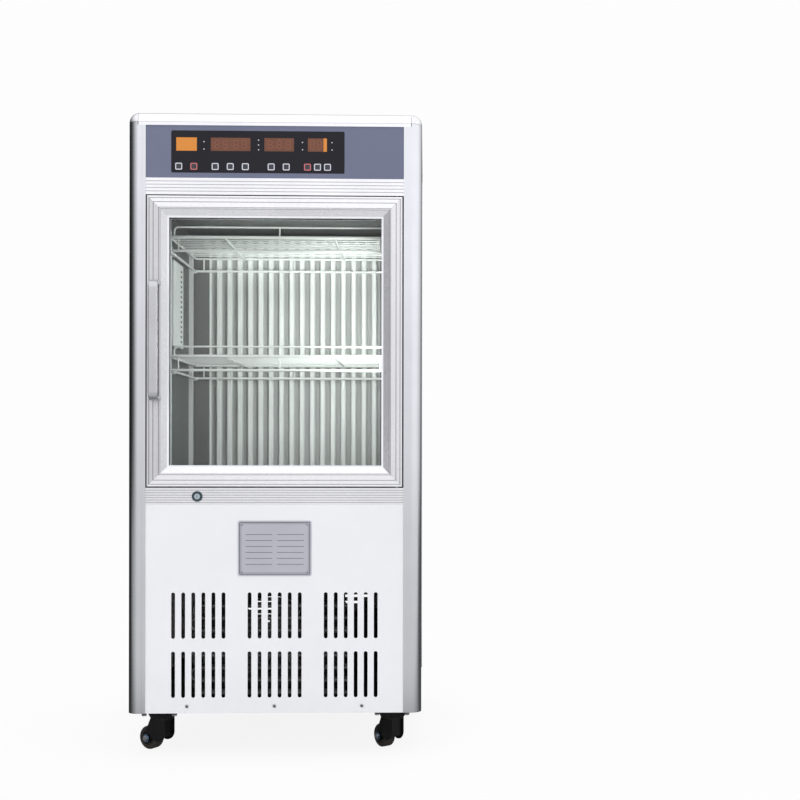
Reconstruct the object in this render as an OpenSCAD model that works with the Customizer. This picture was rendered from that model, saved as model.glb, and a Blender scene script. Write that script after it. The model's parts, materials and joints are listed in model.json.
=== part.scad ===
// Climate chamber on casters: an aluminium-framed cabinet with a glazed door,
// a wire-shelved chamber and a refrigerating machine behind a slotted panel.
// Millimetres. Z is up, the front looks along -Y, and the origin is on the floor under the middle.

/* [Cabinet] */
// Width over the corner posts
cabinet_w = 616; // [580:1:720]
// Depth over the corner posts
cabinet_d = 580; // [550:1:700]
// Face width and depth of a corner post
post_w = 38; // [36:0.5:44]
// Radius of the rounded outer edges
edge_r = 22; // [16:0.5:26]
// Width of the flat lip beside the rounded face of a post or rail
lip_w = 7; // [4:0.5:10]
// How far the lip and the sheets lie behind the rounded face
lip_set = 1.5; // [1:0.1:3]
// Wall of the post and rail extrusions
wall_t = 2.5; // [1.5:0.1:4]
// Thickness of the sheet-metal covers
sheet_t = 1.2; // [1:0.1:2]
// Width of the folded edges of the covers
fold_w = 12; // [8:0.5:16]
// Joint between a corner cap and its neighbours
seam = 0.6; // [0.3:0.1:0.9]

/* [Front, from the bottom up] */
// Height of the casters
caster_h = 90; // [84:1:110]
// Height of the lower panel
panel_h = 437; // [420:1:520]
// Height of the ribbed trim below the door
lower_trim_h = 36; // [34:0.5:44]
// Gap round the door
door_gap = 3; // [2.6:0.1:5]
// Height of the door
door_h = 609; // [590:1:720]
// Height of the ribbed trim above the door
upper_trim_h = 35; // [30:0.5:44]
// Height of the control fascia
fascia_h = 110; // [104:1:130]
// Height of the top rail
rail_h = 29; // [28:0.5:36]

/* [Door] */
// Face width of the door profiles
stile_w = 40; // [38:0.5:48]
// Width of the flat part of the profile's face
stile_flat = 26; // [22:0.5:28]
// How deep the inner edge of the profile slopes back
slope_t = 10; // [7:0.5:11]
// Width of the lip that holds the glazing
rebate_w = 6; // [4:0.5:8]
// Width of the white bead round the glass
bead_w = 4; // [3:0.5:6]
// Thickness of one pane
pane_t = 4; // [3:0.5:5]
// Space between the panes
pane_gap = 6; // [5:0.5:8]
// Width of the gasket
gasket_w = 8.5; // [6:0.5:9]
// Space between the door and the face that the gasket seals on
gasket_space = 4.5; // [4.2:0.1:6]
// Distance of the hinge axis from the door's edge
hinge_in = 11; // [10.5:0.5:12]
// Radius of the hinge pins
hinge_pin_r = 2; // [1.5:0.1:2.2]
// How far a hinge pin reaches into the door
hinge_pin_in = 14; // [10:0.5:20]

/* [Handle] */
// Length of the handle
handle_l = 251; // [180:1:300]
// Width of the handle's bar
handle_w = 20; // [16:0.5:24]
// Thickness of the handle's bar
handle_t = 9; // [7:0.5:12]
// How far the handle stands out from the door
handle_out = 36; // [30:0.5:46]
// Outer radius of the handle's bends
handle_r = 17; // [14:0.5:20]
// Distance of the handle's middle from the door's edge
handle_in = 19.5; // [14:0.5:22]

/* [Control fascia] */
// How far the fascia, the trims and the lower panel lie behind the post's face
face_set = 3; // [2:0.1:3.2]
// Thickness of the fascia plate
fascia_t = 2; // [1.5:0.1:3]
// Width of the display window
window_w = 362; // [355:1:390]
// Height of the display window
window_h = 88; // [84:0.5:92]
// Distance of the window from the fascia's left edge
window_in = 53; // [30:1:70]
// Thickness of the display window
window_t = 3; // [2:0.1:4]
// Corner radius of the window
window_r = 3; // [1:0.5:6]
// Height of the display modules' faces
display_h = 28; // [22:0.5:34]
// Distance of the displays from the window's top edge
display_in = 14; // [10:0.5:16]
// Left edges of the four displays, from the window's left edge
display_at = [10, 82, 194, 285];
// Widths of the four displays
display_w = [43, 83, 62, 40];
// Side of a square key
key_w = 15; // [11:0.5:16]
// Corner radius of a key
key_r = 2.5; // [1:0.25:4]
// Gap round a key
key_gap = 0.4; // [0.3:0.05:0.6]
// How far a key stands out of the window
key_out = 0.9; // [0.6:0.1:2]
// How far a key travels when it is pressed
key_travel = 0.5; // [0.3:0.05:0.6]
// Height of the keys' middle above the window's bottom edge
key_up = 13; // [11:0.5:16]
// First key of each group, from the window's left edge
key_group_at = [15.5, 91.5, 208.5, 284.5];
// Keys in each group
key_group_n = [2, 3, 2, 3];
// Distance between the keys of each group
key_group_pitch = [31.5, 31.5, 31.5, 21];

/* [Trims and lock] */
// Wall of the trim extrusions
trim_wall = 2.5; // [2:0.1:2.8]
// Depth of the trim extrusions
trim_d = 34; // [32:0.5:35]
// Width of a groove in a trim or door profile
groove_w = 1.6; // [1:0.1:2.2]
// Depth of a groove
groove_t = 1.1; // [0.6:0.1:1.4]
// Distance of the lock from the left post
lock_in = 108; // [70:1:150]
// Radius of the lock's bezel
bezel_r = 11; // [10:0.25:13]
// Radius of the lock's barrel
barrel_r = 8.5; // [8:0.25:9.5]
// Radius of the turning plug
plug_r = 6; // [5:0.25:7]
// Distance from the plug's axis to the end of the cam
cam_l = 31; // [29:0.5:33]
// Width of the cam
cam_w = 9; // [7:0.5:11]

/* [Lower panel] */
// Width of a slot
slot_w = 8; // [5:0.5:10]
// Length of a slot
slot_l = 97; // [60:1:105]
// Distance between the slots of a group
slot_pitch = 21; // [14:0.5:24]
// Slots in a group
slot_n = 6; // [3:1:6]
// Distance between the groups
group_pitch = 159.5; // [150:0.5:170]
// Distance between the two rows of slots
slot_row_pitch = 124; // [115:0.5:140]
// Middle of the lower row above the cabinet's bottom
slot_row_up = 81; // [70:0.5:90]
// Width of the nameplate
plate_w = 154; // [100:1:180]
// Height of the nameplate
plate_h = 116; // [70:1:130]
// Middle of the nameplate above the cabinet's bottom
plate_up = 346; // [330:1:350]
// Height of the screws above the cabinet's bottom
screw_up = 15; // [14:0.5:17]
// Distance between the screws
screw_pitch = 183; // [120:1:220]

/* [Chamber] */
// How far the chamber's walls lie inside the door's outline
chamber_in = 17; // [16.5:0.5:18]
// Thickness of the chamber's liner
liner_t = 1.2; // [0.8:0.1:2]
// Thickness of the insulation behind the chamber
back_foam = 45; // [35:1:60]
// Depth of the air space behind the duct panel
plenum_d = 86; // [75:1:100]
// Distance between the duct panel's corrugations
wave_pitch = 25; // [20:0.5:32]
// Depth of the corrugations
wave_t = 8; // [5:0.5:10]
// Thickness of the duct panel
duct_t = 1.2; // [1:0.1:2]
// How far the duct panel's top reaches forward
canopy_d = 100; // [60:1:120]
// Space above the duct panel's top
canopy_down = 34; // [28:1:38]
// Width of a shelf standard
standard_w = 18; // [15:0.5:22]
// Depth of a shelf standard
standard_t = 8; // [6:0.5:10]
// Distance between the holes of a standard
hole_pitch = 25; // [20:1:30]
// Distance of the front standards from the chamber's front
standard_in = 78; // [60:1:100]

/* [Shelves] */
// Distance of the shelves' front from the chamber's front
shelf_in = 48; // [44:1:60]
// Radius of the shelf's frame wires
frame_wire_r = 2.8; // [2.2:0.1:3.4]
// Radius of the thin wires
thin_wire_r = 1.6; // [1.2:0.1:2]
// Radius of the bends in the frame wires
wire_bend = 9; // [6:0.5:14]
// Distance between the thin wires
wire_pitch = 25; // [18:0.5:32]
// Height of the lip above the deck
lip_up = 21; // [15:0.5:24]
// Distance of the lower frame below the deck
frame_down = 30; // [20:0.5:34]
// Distance of the top shelf's deck below the chamber's ceiling
top_deck_down = 55; // [54:1:70]
// Height of the middle shelf's deck above the chamber's floor
middle_deck_up = 262; // [200:1:300]
// How far a shelf lifts off its clips
shelf_lift = 8; // [5:0.5:9]

/* [Casters] */
// Diameter of the wheels
wheel_d = 50; // [46:1:54]
// Width of the wheels
wheel_w = 24; // [18:0.5:26]
// Radius of the axles
axle_r = 4; // [3:0.25:5]
// Distance from the swivel's axis to the axle
trail = 30; // [26:0.5:32]
// Side of the square mounting plates
caster_plate_w = 84; // [80:1:92]
// Distance of the casters' swivel axes from the cabinet's side
caster_in_x = 62; // [56:1:80]
// Distance of the casters' swivel axes from the cabinet's front and back
caster_in_y = 62; // [56:1:90]
// Swivel of each caster at rest: front left, front right, rear left, rear right
swivel = [60, 37, 62, 24];

/* [Machine] */
// Place of the condenser and its fan across the cabinet, from the middle
condenser_x = -17; // [-40:1:20]
// Width of the condenser
condenser_w = 312; // [260:1:330]
// Height of the condenser
condenser_h = 245; // [200:1:260]
// Distance between the condenser's tubes
tube_pitch = 27; // [22:0.5:32]
// Radius of the condenser's tubes
tube_r = 4.8; // [3:0.1:5.5]
// Distance of the condenser behind the post's face
condenser_back = 70; // [60:1:90]
// Radius of the condenser fan
fan_r = 98; // [80:1:98]
// Blades of each fan
blade_n = 5; // [4:1:7]
// Radius of the compressor
compressor_r = 72; // [60:1:75]
// Height of the compressor's shell
compressor_h = 150; // [120:1:170]
// Radius of the circulation fan
air_fan_r = 62; // [45:1:64]

/* [Hidden] */
$fn = 48;
cut = 1;             // how far a cutting shape runs past the face it cuts
touch = 0.3;         // gap that stands for a light touch between two pieces
run = 0.08;          // radial clearance of a running fit
slip = 0.3;          // clearance between a piece and the cut-out it sits in
mitre_gap = 0.1;     // gap at each mitre of the rails and the door's frame
shelf_gap = 4;       // gap between the shelves and the standards
pin_gap = 0.2;       // gap between a hinge pin and the trim's front wall
seal_out = 3;        // how far the gasket reaches past the hinge axis, so that it lifts off

gland_out = 16;      // how far the cable gland stands out at the back

// Places of the main planes
x_side = cabinet_w / 2;
x_bay = x_side - post_w;
y_front = (handle_out - gland_out - cabinet_d) / 2;
y_back = y_front + cabinet_d;
y_mid = (y_front + y_back) / 2;
y_face = y_front + face_set;
z_base = caster_h;
z_panel_top = z_base + panel_h;
z_door = z_panel_top + lower_trim_h + door_gap;
z_door_top = z_door + door_h;
z_fascia = z_door_top + door_gap + upper_trim_h;
z_rail = z_fascia + fascia_h;
z_top = z_rail + rail_h;
bay_w = 2 * x_bay;

// Door
door_w = bay_w - 2 * door_gap;
x_door = door_w / 2;
y_door = y_front;
y_seal = y_front + post_w;
profile_t = post_w - gasket_space;
x_hinge = x_door - hinge_in;
y_hinge = y_face + trim_wall + hinge_pin_r + pin_gap;
bore_r = hinge_pin_r + run;

// Chamber
chamber_x = x_door - chamber_in;
z_floor = z_door + chamber_in;
z_ceiling = z_door_top - chamber_in;
skin = max(liner_t, sheet_t);
y_foam = y_seal + skin;
y_foam_back = y_back - post_w - skin;
y_rear_wall = y_foam_back - back_foam;
y_duct = y_rear_wall - plenum_d;
z_canopy = z_ceiling - canopy_down;
foam_x = x_side - lip_set - sheet_t;
foam_gap = 0.4;
standard_y = [y_seal + standard_in, y_duct - wave_t - standard_w - 12];
z_top_deck = z_ceiling - top_deck_down;
z_middle_deck = z_floor + middle_deck_up;
shelf_x = chamber_x - standard_t - shelf_gap;
y_shelf = y_seal + shelf_in;
y_shelf_back = y_duct - wave_t - 8;

// Keys
key_x0 = -x_bay + window_in;
key_x = [for (g = [0 : len(key_group_n) - 1]) for (k = [0 : key_group_n[g] - 1])
    key_x0 + key_group_at[g] + k * key_group_pitch[g]];
z_window = z_fascia + (fascia_h - window_h) / 2;
z_keys = z_window + key_up;
y_window = y_face + 0.4;
y_board = y_window + window_t + 14;

// Lock
lock_x = x_bay - lock_in;
z_lock = z_panel_top + lower_trim_h / 2;
y_cam = y_face + 22;
cam_t = 2.5;
cam_room = 1.5;      // room round the cam where it passes through the trim and the door

// Shared shapes

// A rectangle with one rounded corner, at the origin
module rounded_corner(w, d, r) {
    difference() {
        square([w, d]);
        difference() {
            translate([-cut, -cut]) square([r + cut, r + cut]);
            translate([r, r]) circle(r);
            translate([r, -2 * cut]) square([cut, r + 2 * cut]);
            translate([-2 * cut, r]) square([r + 2 * cut, cut]);
        }
    }
}

// A rectangle with four rounded corners, centred
module rounded_square(w, h, r) {
    square([w - 2 * r, h], center = true);
    square([w, h - 2 * r], center = true);
    for (sx = [-1, 1], sy = [-1, 1])
        translate([sx * (w / 2 - r), sy * (h / 2 - r)]) circle(r);
}

// A slot with round ends, upright and centred
module round_slot(w, l) {
    square([w, l - w], center = true);
    for (s = [-1, 1]) translate([0, s * (l - w) / 2]) circle(w / 2);
}

// Turns a flat shape in X and Y so that it stands upright and its top looks to the front
module upright() {
    rotate([90, 0, 0]) children();
}

// Places a piece at each corner of the cabinet, mirrored from the front left one
module at_corners() {
    for (sx = [0, 1], sy = [0, 1])
        translate([0, y_mid, 0]) mirror([sx, 0, 0]) mirror([0, sy, 0])
            translate([-x_side, -cabinet_d / 2, 0]) children();
}

// A sheet with four folded edges: its face is at height 0 and looks up
module folded_sheet(w, h) {
    difference() {
        translate([-w / 2, -h / 2, -fold_w]) cube([w, h, fold_w]);
        translate([-w / 2 + sheet_t, -h / 2 + sheet_t, -fold_w - cut])
            cube([w - 2 * sheet_t, h - 2 * sheet_t, fold_w + cut - sheet_t]);
    }
}

// Cross-section of the hollow frame extrusion, with its outer corner at the origin
module frame_profile(w, d) {
    inset = lip_set + wall_t;
    difference() {
        union() {
            rounded_corner(w - lip_w, d - lip_w, edge_r);
            translate([edge_r, lip_set]) square([w - edge_r, d - lip_set]);
            translate([lip_set, edge_r]) square([w - lip_set, d - edge_r]);
        }
        translate([inset, inset])
            rounded_corner(w - inset - wall_t, d - inset - wall_t, edge_r - inset);
    }
}

// A rod between two points that differ along one axis only
module rod(from, to, r) {
    d = to - from;
    l = norm(d);
    translate(from)
        if (abs(d.x) > 0) rotate([0, 90 * sign(d.x), 0]) cylinder(h = l, r = r);
        else if (abs(d.y) > 0) rotate([-90 * sign(d.y), 0, 0]) cylinder(h = l, r = r);
        else cylinder(h = l, r = r);
}

// Frame and casing

module base_tray() {
    tray_x = x_side - lip_set - sheet_t;
    tray_y0 = y_face + fold_w + touch;
    tray_y1 = y_back - lip_set - fold_w - touch;
    tray_t = 2.5;
    rim_h = 28;
    color("dimgray") difference() {
        union() {
            translate([-tray_x + fold_w + touch, tray_y0, z_base])
                cube([2 * (tray_x - fold_w - touch), tray_y1 - tray_y0, tray_t]);
            for (s = [-1, 1])
                translate([s * (tray_x - fold_w - touch - tray_t / 2) - tray_t / 2,
                        y_front + post_w + fold_w, z_base])
                    cube([tray_t, cabinet_d - 2 * post_w - 2 * fold_w, rim_h]);
        }
        for (sx = [-1, 1], sy = [-1, 1])
            translate([sx * x_side, y_mid + sy * cabinet_d / 2, z_base])
                cube([2 * (post_w + touch), 2 * (post_w + touch), 4 * rim_h], center = true);
    }
}

module corner_posts() {
    color("silver") at_corners() {
        translate([0, 0, z_base]) linear_extrude(z_rail - z_base) frame_profile(post_w, post_w);
        translate([0, 0, z_rail]) linear_extrude(rail_h - edge_r - seam)
            intersection() {
                frame_profile(post_w, post_w);
                square(edge_r - seam);
            }
    }
}

// One rail, centred on X, with its outer face on Y = 0, its top at Z = 0 and mitred ends
module rail(l) {
    intersection() {
        translate([l / 2, 0, 0]) rotate([-90, 0, 90])
            linear_extrude(l) frame_profile(post_w, rail_h);
        translate([-l / 2, 0, -rail_h - cut]) linear_extrude(rail_h + 2 * cut)
            polygon([[edge_r + seam, -cut], [l - edge_r - seam, -cut],
                [l - edge_r - seam, edge_r + seam], [l - post_w, post_w],
                [post_w, post_w], [edge_r + seam, edge_r + seam]]);
    }
}

module top_rails() {
    color("gainsboro") {
        translate([0, y_front, z_top]) rail(cabinet_w);
        translate([0, y_back, z_top]) rotate(180) rail(cabinet_w);
        for (s = [-1, 1])
            translate([s * x_side, y_mid, z_top]) rotate(s * 90) rail(cabinet_d - 2 * mitre_gap);
    }
}

module corner_caps() {
    color("white") at_corners()
        translate([edge_r, edge_r, z_top - edge_r]) intersection() {
            sphere(edge_r);
            translate([-2 * edge_r, -2 * edge_r, 0]) cube(2 * edge_r);
        }
}

module top_panel() {
    color("gainsboro") translate([0, y_mid, z_top - lip_set])
        folded_sheet(bay_w, cabinet_d - 2 * post_w);
}

module side_panels() {
    color("whitesmoke") for (s = [-1, 1])
        translate([s * (x_side - lip_set), y_mid, (z_base + z_rail) / 2])
            rotate([90, 0, s * 90]) folded_sheet(cabinet_d - 2 * post_w, z_rail - z_base);
}

module rear_panel() {
    color("whitesmoke") translate([0, y_back - lip_set, (z_panel_top + z_rail) / 2])
        rotate([90, 0, 180]) folded_sheet(bay_w, z_rail - z_panel_top);
}

module service_panel() {
    vent_n = 14;
    vent_pitch = 16;
    vent_l = 150;
    vent_w = 6;
    color("whitesmoke") translate([0, y_back - lip_set, (z_base + z_panel_top) / 2])
        rotate([90, 0, 180]) difference() {
            folded_sheet(bay_w, panel_h);
            for (s = [-1, 1], i = [0 : vent_n - 1])
                translate([s * bay_w / 5, (i - (vent_n - 1) / 2) * vent_pitch, -sheet_t - cut])
                    rotate(90) linear_extrude(sheet_t + 2 * cut) round_slot(vent_w, vent_l);
            translate([gland_x, gland_up - panel_h / 2, -sheet_t - cut])
                cylinder(h = sheet_t + 2 * cut, r = gland_r);
        }
}

gland_x = x_bay - 55; // distance of the gland from the middle
gland_up = 60;       // height of the gland above the cabinet's bottom
gland_r = 8;

// A threaded gland with a hexagonal body outside and its nut inside; the cord is left out
module cable_gland() {
    hex_r = 12;
    hex_t = 6;
    cord_r = 4;
    color("black") translate([-gland_x, y_back - lip_set, z_base + gland_up]) upright()
        difference() {
            union() {
                translate([0, 0, -hex_t]) cylinder(h = hex_t, r = hex_r, $fn = 6);
                translate([0, 0, sheet_t]) cylinder(h = hex_t, r = hex_r, $fn = 6);
                translate([0, 0, -hex_t]) cylinder(h = 3 * hex_t, r = gland_r - slip);
                translate([0, 0, -gland_out - lip_set]) cylinder(h = gland_out, r = gland_r);
            }
            translate([0, 0, -2 * gland_out]) cylinder(h = 4 * gland_out, r = cord_r);
        }
}

// Control fascia

module control_fascia() {
    color("slategray") difference() {
        translate([-x_bay, y_face, z_fascia]) cube([bay_w, fascia_t, fascia_h]);
        window_place(y_face - cut, fascia_t + 2 * cut, slip);
    }
    color("slategray") for (s = [0, 1])
        translate([-x_bay, y_face, z_fascia + s * (fascia_h - sheet_t)])
            cube([bay_w, fold_w, sheet_t]);
}

// A plate in the outline of the display window, from y on, t thick and grown by g
module window_place(y, t, g) {
    translate([key_x0 + window_w / 2, y + t, z_window + window_h / 2]) upright()
        linear_extrude(t) rounded_square(window_w + 2 * g, window_h + 2 * g, window_r + g);
}

module display_window() {
    color("#2b2a33") difference() {
        window_place(y_window, window_t, 0);
        for (i = [0 : len(display_w) - 1])
            translate([key_x0 + display_at[i] - slip, y_window - cut, z_display - slip])
                cube([display_w[i] + 2 * slip, window_t + 2 * cut, display_h + 2 * slip]);
        for (x = key_x)
            translate([x, y_window + window_t + cut, z_keys]) upright()
                linear_extrude(window_t + 2 * cut)
                    rounded_square(key_w + 2 * key_gap, key_w + 2 * key_gap, key_r + key_gap);
    }
}

z_display = z_window + window_h - display_in - display_h;
display_back = 0.6;  // how far the display faces lie behind the window's face

module display_modules() {
    lit = ["orange", "saddlebrown", "saddlebrown", "saddlebrown"];
    for (i = [0 : len(display_w) - 1])
        color(lit[i])
            translate([key_x0 + display_at[i], y_window + display_back, z_display])
                cube([display_w[i], y_board - y_window - display_back, display_h]);
}

module control_board() {
    board_t = 1.6;
    pillar_r = 2.5;
    pillar_in = 3;
    switch_w = 6;
    color("darkgreen") {
        translate([key_x0, y_board, z_window]) cube([window_w, board_t, window_h]);
        for (sx = [0, 1], sz = [0, 1])
            translate([key_x0 + sx * window_w + (1 - 2 * sx) * pillar_in,
                    y_window + window_t, z_window + sz * window_h + (1 - 2 * sz) * pillar_in])
                rotate([-90, 0, 0]) cylinder(h = y_board - y_window - window_t + touch, r = pillar_r);
        for (x = key_x)
            translate([x - switch_w / 2, y_board - switch_t, z_keys - switch_w / 2])
                cube([switch_w, switch_t + touch, switch_w]);
    }
}

switch_t = 4;        // height of a switch above the board

module key(i) {
    flange = 1.2;
    lap = 1.5;
    stem_r = 2;
    y_flange = y_window + window_t + touch;
    color(i == 1 || i == 7 ? "#b8656b" : "#c9cbd4") {
        translate([key_x[i], y_flange + cut / 2, z_keys]) upright()
            linear_extrude(y_flange + cut / 2 - y_window + key_out)
                rounded_square(key_w, key_w, key_r);
        translate([key_x[i], y_flange + flange, z_keys]) upright()
            linear_extrude(flange) rounded_square(key_w + 2 * lap, key_w + 2 * lap, key_r);
        translate([key_x[i], y_flange, z_keys]) rotate([-90, 0, 0])
            cylinder(h = y_board - switch_t - key_travel - touch - y_flange, r = stem_r);
    }
}

module key_1() { key(0); }
module key_2() { key(1); }
module key_3() { key(2); }
module key_4() { key(3); }
module key_5() { key(4); }
module key_6() { key(5); }
module key_7() { key(6); }
module key_8() { key(7); }
module key_9() { key(8); }
module key_10() { key(9); }

// Trims and lock

// A channel across the bay, h high, open to the back, with grooves at the given heights
module trim_channel(h, grooves) {
    translate([-x_bay, 0, 0]) rotate([90, 0, 90]) linear_extrude(bay_w) difference() {
        square([trim_d, h]);
        translate([trim_wall, trim_wall]) square([trim_d, h - 2 * trim_wall]);
        for (g = grooves) translate([-cut, g - groove_w / 2]) square([cut + groove_t, groove_w]);
    }
}

module upper_trim() {
    groove_pitch = upper_trim_h / 5;
    color("silver") difference() {
        translate([0, y_face, z_door_top + door_gap])
            trim_channel(upper_trim_h, [for (i = [1 : 4]) i * groove_pitch]);
        translate([x_hinge, y_hinge, z_door_top + door_gap - cut])
            cylinder(h = trim_wall + 2 * cut, r = bore_r);
    }
}

module lower_trim() {
    groove_pitch = lower_trim_h / 7;
    cam_reach = sqrt(pow(cam_l + cam_w / 2, 2) - pow(lower_trim_h / 2 - trim_wall, 2));
    color("silver") difference() {
        translate([0, y_face, z_panel_top])
            trim_channel(lower_trim_h, [for (i = [1 : 6]) i * groove_pitch]);
        translate([-lock_x, y_face - cut, z_lock]) rotate([-90, 0, 0])
            cylinder(h = trim_wall + 2 * cut, r = barrel_r + slip);
        translate([-lock_x - cam_reach - cam_room, y_cam - cam_room,
                z_panel_top + lower_trim_h - trim_wall - cut])
            cube([cam_reach + cam_w / 2 + 3 * cam_room, cam_t + 2 * cam_room, trim_wall + 2 * cut]);
        translate([x_hinge, y_hinge, z_door - door_gap - trim_wall - cut])
            cylinder(h = trim_wall + 2 * cut, r = bore_r);
    }
}

module lock_barrel() {
    bezel_t = 3;
    barrel_l = y_cam - y_face - cam_room;
    nut_t = 4;
    color("slategray") translate([-lock_x, y_face, z_lock]) rotate([-90, 0, 0]) difference() {
        union() {
            translate([0, 0, -bezel_t]) cylinder(h = bezel_t, r = bezel_r);
            translate([0, 0, -bezel_t]) cylinder(h = barrel_l + bezel_t, r = barrel_r);
            translate([0, 0, trim_wall]) cylinder(h = nut_t, r = bezel_r, $fn = 6);
        }
        translate([0, 0, -bezel_t - cut]) cylinder(h = barrel_l + bezel_t + 2 * cut, r = plug_r + run);
    }
}

// The plug turns in the barrel and carries the cam, which points left when it is unlocked
module lock_plug() {
    keyway_w = 2.4;
    keyway_l = 7;
    keyway_d = 6;
    plug_out = 2.4;
    color("darkslategray") translate([-lock_x, y_face, z_lock]) rotate([-90, 0, 0])
        difference() {
            translate([0, 0, -plug_out])
                cylinder(h = y_cam - y_face + plug_out + touch, r = plug_r);
            translate([-keyway_w / 2, -keyway_l / 2, -plug_out - cut])
                cube([keyway_w, keyway_l, keyway_d + cut]);
        }
    color("silver") translate([-lock_x, y_cam + cam_t, z_lock]) upright() linear_extrude(cam_t) {
        circle(cam_w / 2 + 2);
        translate([-cam_l + cam_w / 2, -cam_w / 2]) square([cam_l - cam_w / 2, cam_w]);
        translate([-cam_l + cam_w / 2, 0]) circle(cam_w / 2);
    }
}

// Lower panel

module lower_panel() {
    color("whitesmoke") translate([0, y_face, z_base]) upright() difference() {
        translate([0, panel_h / 2, 0]) folded_sheet(bay_w, panel_h);
        for (r = [0, 1], g = [-1, 0, 1], i = [0 : slot_n - 1])
            translate([g * group_pitch + (i - (slot_n - 1) / 2) * slot_pitch,
                    slot_row_up + r * slot_row_pitch, -sheet_t - cut])
                linear_extrude(sheet_t + 2 * cut) round_slot(slot_w, slot_l);
    }
}

plate_t = 1;         // thickness of the nameplate
plate_r = 4;         // corner radius of the nameplate

module nameplate() {
    color("lightgray") translate([0, y_face, z_base + plate_up]) upright()
        linear_extrude(plate_t) rounded_square(plate_w, plate_h, plate_r);
}

// A low round head on the front, standing out by t from y
module head(x, y, z, r, t) {
    translate([x, y, z]) rotate([90, 0, 0]) {
        cylinder(h = t * 0.6, r = r);
        translate([0, 0, t * 0.6]) cylinder(h = t * 0.4, r1 = r, r2 = r * 0.6);
    }
}

module rivets_and_screws() {
    rivet_in = 8;
    rivet_r = 2.6;
    rivet_t = 1.4;
    screw_r = 3.6;
    screw_t = 2;
    color("darkgray") {
        for (sx = [-1, 1], sz = [-1, 1])
            head(sx * (plate_w / 2 - rivet_in), y_face - plate_t,
                z_base + plate_up + sz * (plate_h / 2 - rivet_in), rivet_r, rivet_t);
        for (i = [-1, 0, 1])
            head(i * screw_pitch, y_face, z_base + screw_up, screw_r, screw_t);
        for (sx = [-1, 1], z = [z_base + screw_up, z_panel_top - screw_up, z_panel_top + screw_up,
                z_rail - screw_up])
            translate([0, 2 * (y_back - lip_set), 0]) mirror([0, 1, 0])
                head(sx * (x_bay - screw_up), y_back - lip_set, z, screw_r, screw_t);
    }
}

// Chamber

module chamber_liner() {
    flange_x = x_side - lip_set - fold_w - touch;
    chamber_h = z_ceiling - z_floor;
    color("silver") difference() {
        union() {
            translate([-chamber_x - liner_t, y_seal, z_floor - liner_t])
                cube([2 * (chamber_x + liner_t), y_rear_wall + liner_t - y_seal,
                    chamber_h + 2 * liner_t]);
            translate([-flange_x, y_seal, z_panel_top + touch])
                cube([2 * flange_x, liner_t, z_fascia - z_panel_top - touch]);
        }
        translate([-chamber_x, y_seal - cut, z_floor])
            cube([2 * chamber_x, y_rear_wall - y_seal + cut, chamber_h]);
    }
}

module insulation() {
    in_x = chamber_x + liner_t;
    z0 = z_panel_top + touch;
    color("khaki") {
        for (s = [-1, 1])
            translate([s * (foam_x + in_x) / 2 - (foam_x - in_x) / 2, y_foam, z0])
                cube([foam_x - in_x, y_foam_back - y_foam, z_fascia - z0]);
        translate([-in_x + foam_gap, y_foam, z0])
            cube([2 * (in_x - foam_gap), y_foam_back - y_foam, z_floor - liner_t - z0]);
        translate([-in_x + foam_gap, y_foam, z_ceiling + liner_t])
            cube([2 * (in_x - foam_gap), y_foam_back - y_foam, z_fascia - z_ceiling - liner_t]);
        translate([-in_x + foam_gap, y_rear_wall + liner_t, z_floor - liner_t + foam_gap])
            cube([2 * (in_x - foam_gap), y_foam_back - y_rear_wall - liner_t,
                z_ceiling - z_floor + 2 * (liner_t - foam_gap)]);
    }
}

// One period of the corrugation is four points: two on the crest and two in the trough
function wave(x0, n, y) = [for (i = [0 : n - 1]) for (p = [[0, 0], [0.32, 0], [0.5, 1], [0.82, 1]])
    [x0 + (i + p.x) * wave_pitch, y + p.y * wave_t]];
function reversed(list) = [for (i = [len(list) - 1 : -1 : 0]) list[i]];

module duct_panel() {
    side_gap = 1;
    n = floor(2 * (chamber_x - side_gap) / wave_pitch);
    x0 = -n * wave_pitch / 2;
    outline = concat(wave(x0, n, 0), reversed(wave(x0, n, duct_t)));
    rim = chamber_x - side_gap - n * wave_pitch / 2;
    vent = [10, 12];
    vent_up = 4;
    color("white") difference() {
        union() {
            translate([0, y_duct - wave_t, z_floor])
                linear_extrude(z_canopy - z_floor) polygon(outline);
            translate([0, y_duct, z_canopy]) upright() linear_extrude(canopy_d)
                polygon(outline);
            for (s = [-1, 1]) {
                translate([s * (chamber_x - side_gap) - (s + 1) / 2 * (rim + wave_pitch),
                        y_duct - wave_t, z_floor])
                    cube([rim + wave_pitch, duct_t, z_canopy - z_floor]);
            }
        }
        for (i = [2 : 2 : n - 3])
            translate([x0 + (i + 0.16) * wave_pitch - vent.x / 2, y_duct - 2 * wave_t,
                    z_floor + vent_up])
                cube([vent.x, 3 * wave_t, vent.y]);
    }
}

module shelf_supports() {
    hole_w = 4;
    hole_h = 12;
    clip_t = 3;
    wall = 1.5;
    z0 = z_floor + touch;
    h = z_ceiling - z_floor - canopy_down - 2 * touch;
    n = floor((h - 2 * hole_pitch) / hole_pitch);
    color("gainsboro") for (sx = [0, 1], y = standard_y) mirror([sx, 0, 0]) {
        difference() {
            translate([-chamber_x, y, z0]) cube([standard_t, standard_w, h]);
            translate([-chamber_x - cut, y + wall, z0 - cut])
                cube([standard_t + cut - wall, standard_w - 2 * wall, h + 2 * cut]);
            for (i = [0 : n - 1])
                translate([-chamber_x, y + (standard_w - hole_w) / 2, z0 + (i + 1) * hole_pitch])
                    cube([2 * standard_t, hole_w, hole_h]);
        }
        for (z = [z_top_deck, z_middle_deck])
            translate([-chamber_x + standard_t, y + standard_w / 4,
                    z - frame_down - frame_wire_r - touch - clip_t])
                cube([shelf_gap + 2 * frame_wire_r, standard_w / 2, clip_t]);
    }
}

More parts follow.
